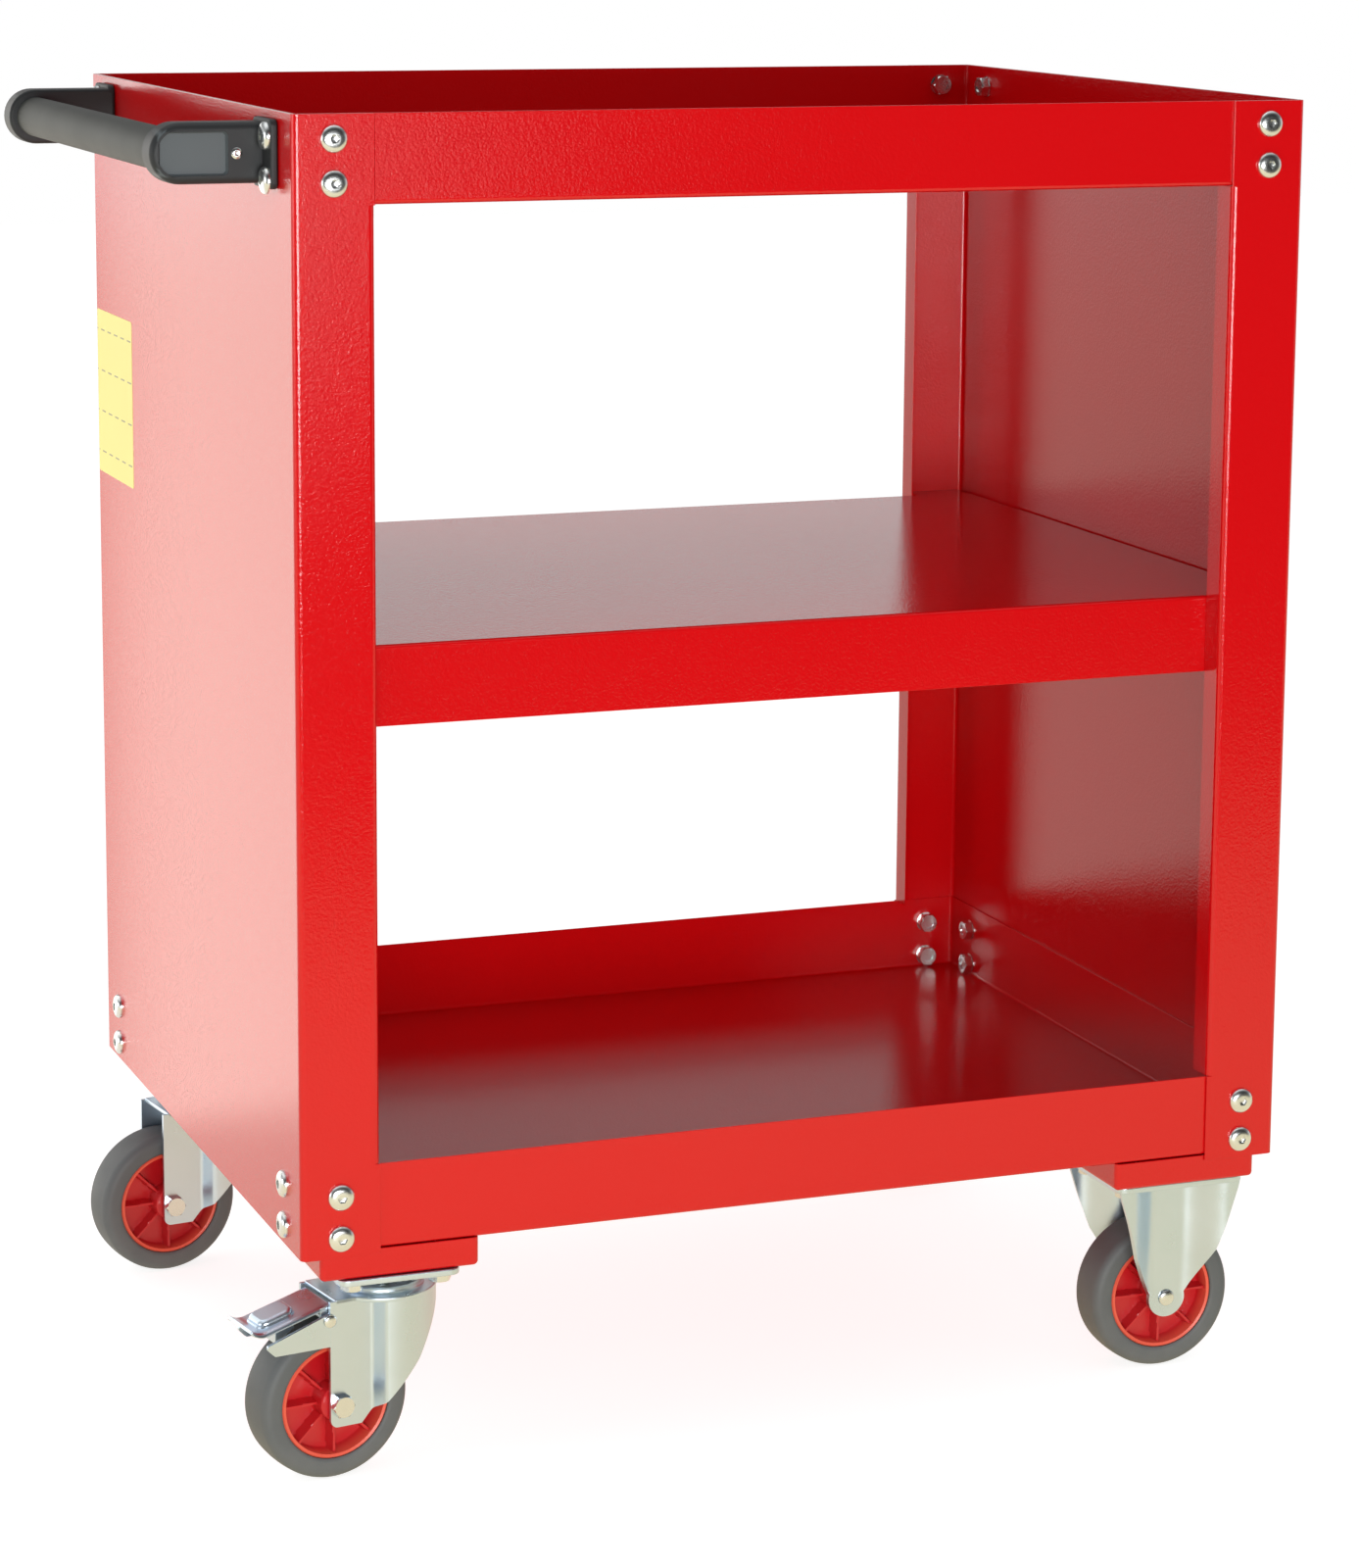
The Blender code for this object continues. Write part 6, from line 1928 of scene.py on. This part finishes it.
@dataclass
class Studio:
    """A white floor and surround, bright behind the cart and dimmer in front of it, with soft lamps.

    Gloss sees the surround in parts: dim in front, bright behind, dimmer again in a low band above the
    horizon, and bright overhead.
    """

    ambient: float = 0.53
    front_glow: float = 0.02
    back_left_glow: float = 1.15
    back_right_glow: float = 0.85
    band_share: float = 0.30
    side_span: Span = (-0.2, 0.45)
    front_span: Span = (-0.75, 0.0)
    band_span: Span = (0.215, 0.27)
    ceiling_span: Span = (0.5, 0.85)
    floor_tone: float = 0.50
    floor_seen: float = 0.80
    floor_glow: float = 0.42
    floor_gloss: float = 0.66
    front_warmth: Colour = (1.0, 0.86, 0.42)
    back_warmth: Colour = (1.0, 0.93, 0.80)
    warmth_span: Span = (-0.4, 0.4)
    floor_front: float = -1.75
    floor_back: float = 9.0
    floor_half: float = 8.0
    floor_steps: int = 8
    lamps: tuple[Lamp, ...] = (
        Lamp("key_light", (-0.72, -3.2, 0.56), (0.0, 0.0, 0.42), (1.7, 0.62), 58.0),
        Lamp("window_light", (0.62, -3.55, 0.55), (0.0, 0.0, 0.60), (0.34, 0.40), 1.25),
        Lamp("left_light", (-3.0, -0.4, 0.9), (-0.33, 0.0, 0.55), (1.2, 1.0), 10.0),
        Lamp("side_light", (-0.85, 0.54, 0.50), (-0.85, -1.0, 0.50), (0.95, 1.0), 3.0, (1.0, 0.96, 0.88)))

    def build(self) -> None:
        """Build the floor, the surround and the lamps."""
        self.floor()
        self.surround()
        for lamp in self.lamps:
            lamp.build()

    def floor(self) -> None:
        """Build the floor: pale, with a glow of its own so that it stands white round the cart's soft shadow."""
        made = Surface(Seat(0.0, 0.0, 0.0))
        u, v = np.meshgrid(np.linspace(-self.floor_half, self.floor_half, self.floor_steps + 1),
                           np.linspace(self.floor_front, self.floor_back, self.floor_steps + 1))
        made.add_grid(np.stack([u, v, np.zeros_like(u)], -1))
        floor = made.build("floor")
        material = bpy.data.materials.new("floor_white")
        material.use_nodes = True
        tree = material.node_tree
        tree.nodes.remove(tree.nodes["Principled BSDF"])
        graph = Graph(tree)
        path = graph.add("ShaderNodeLightPath")
        seen = graph.maths("MAXIMUM", path.outputs["Is Camera Ray"], path.outputs["Is Transmission Ray"])
        unseen = graph.carried(path.outputs["Is Glossy Ray"], (0.0, 1.0), self.floor_glow, self.floor_gloss)
        strength = graph.carried(seen, (0.0, 1.0), unseen, self.floor_seen)
        across = graph.add("ShaderNodeSeparateXYZ", {0: graph.place()}).outputs["Y"]
        behind = graph.carried(across, self.warmth_span, 0.0, 1.0)
        warmth = graph.mix(behind, (*self.front_warmth, 1), (*self.back_warmth, 1))
        glow = graph.add("ShaderNodeEmission", {"Color": graph.mix(seen, warmth, (1, 1, 1, 1)), "Strength": strength})
        diffuse = graph.add("ShaderNodeBsdfDiffuse", {"Color": (*(self.floor_tone,) * 3, 1)})
        both = graph.add("ShaderNodeAddShader", {0: diffuse.outputs[0], 1: glow.outputs[0]})
        tree.links.new(both.outputs[0], tree.nodes["Material Output"].inputs["Surface"])
        floor.data.materials.append(material)

    def surround(self) -> None:
        """Build the world: white to the camera, plain light on surfaces, and the studio's parts for gloss."""
        world = bpy.data.worlds.new("studio")
        bpy.context.scene.world = world
        world.use_nodes = True
        graph = Graph(world.node_tree)
        path = graph.add("ShaderNodeLightPath")
        way = graph.add("ShaderNodeSeparateXYZ", {0: graph.add("ShaderNodeTexCoord").outputs["Generated"]})
        glow = graph.carried(way.outputs["X"], self.side_span, self.back_left_glow, self.back_right_glow)
        gloss = graph.carried(way.outputs["Y"], self.front_span, self.front_glow, glow, True)
        band = graph.carried(way.outputs["Z"], self.band_span, 1.0, self.band_share, True)
        ceiling = graph.carried(way.outputs["Z"], self.ceiling_span, 0.0, 1.0)
        gloss = graph.maths("MULTIPLY", gloss, graph.maths("MAXIMUM", band, ceiling))
        plain = graph.maths("ADD", self.ambient, graph.maths("MULTIPLY", path.outputs["Is Glossy Ray"],
                                                             graph.maths("SUBTRACT", gloss, self.ambient)))
        seen = graph.maths("MAXIMUM", path.outputs["Is Camera Ray"], path.outputs["Is Transmission Ray"])
        background = world.node_tree.nodes["Background"]
        world.node_tree.links.new(graph.maths("MAXIMUM", plain, seen), background.inputs["Strength"])
        background.inputs["Color"].default_value = (1, 1, 1, 1)


@dataclass
class PhotoCamera:
    """The camera, from the front left and a little above the cart."""

    spot: Spot = (-0.9515, -2.6043, 0.9774)
    yaw: float = radians(20.862)
    pitch: float = radians(9.745)
    roll: float = radians(0.396)
    lens: float = 96.40
    sensor: float = 36.0
    shift_y: float = -0.12
    reach: Span = (0.05, 60.0)

    def build(self) -> None:
        """Build the camera and make it the scene's."""
        data = bpy.data.cameras.new("photo_camera")
        data.lens, data.sensor_width, data.shift_y = self.lens, self.sensor, self.shift_y
        data.clip_start, data.clip_end = self.reach
        camera = bpy.data.objects.new("photo_camera", data)
        forward = Vector((sin(self.yaw) * cos(self.pitch), cos(self.yaw) * cos(self.pitch), -sin(self.pitch)))
        right = Vector((cos(self.yaw), -sin(self.yaw), 0))
        up = right.cross(forward)
        rolled_right = right * cos(self.roll) + up * sin(self.roll)
        rolled_up = up * cos(self.roll) - right * sin(self.roll)
        turn = Matrix((rolled_right, rolled_up, -forward)).transposed().to_4x4()
        camera.matrix_world = Matrix.Translation(self.spot) @ turn
        bpy.context.scene.collection.objects.link(camera)
        bpy.context.scene.camera = camera


def caster_at(kind: type[Caster], prefix: str, turn: float) -> Caster:
    """Make a castor that stands on the middle of its own CAD plate.

    Args:
        kind: The castor's class.
        prefix: Its name.
        turn: Its turn about Z at rest.

    Returns:
        The castor.
    """
    node = prefix + ("_plate" if kind is SwivelCaster else "_fork")
    low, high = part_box(node)
    return kind(prefix, (low.x + high.x) / 2, (low.y + high.y) / 2, turn)


def swivel_turn(prefix: str) -> float:
    """Return how far a swivel castor stands turned at rest, from its wheel's axis in the record."""
    axis = next(joint["axis"] for joint in frame["joints"] if joint["name"] == prefix + "_wheel_spin")
    return atan2(-axis[0], axis[1])


def main() -> None:
    """Build the cart, the studio and the camera."""
    logging.basicConfig(level=logging.INFO, format="%(name)s: %(message)s")
    bpy.context.scene.view_settings.view_transform = "Standard"
    PhotoCamera().build()
    Studio().build()
    fitter = Fitter()
    SheetBody().fit(fitter)
    FrameBolts().fit(fitter)
    PushHandle().fit(fitter)
    front = caster_at(SwivelCaster, "front_left", swivel_turn("front_left"))
    rear = caster_at(SwivelCaster, "rear_left", swivel_turn("rear_left"))
    for caster in (front, rear, caster_at(FixedCaster, "front_right", 0.0), caster_at(FixedCaster, "rear_right", 0.0)):
        caster.fit(fitter)
    Brake(front).fit(fitter)
    Sticker().fit(fitter)


if __name__ == "__main__":
    main()
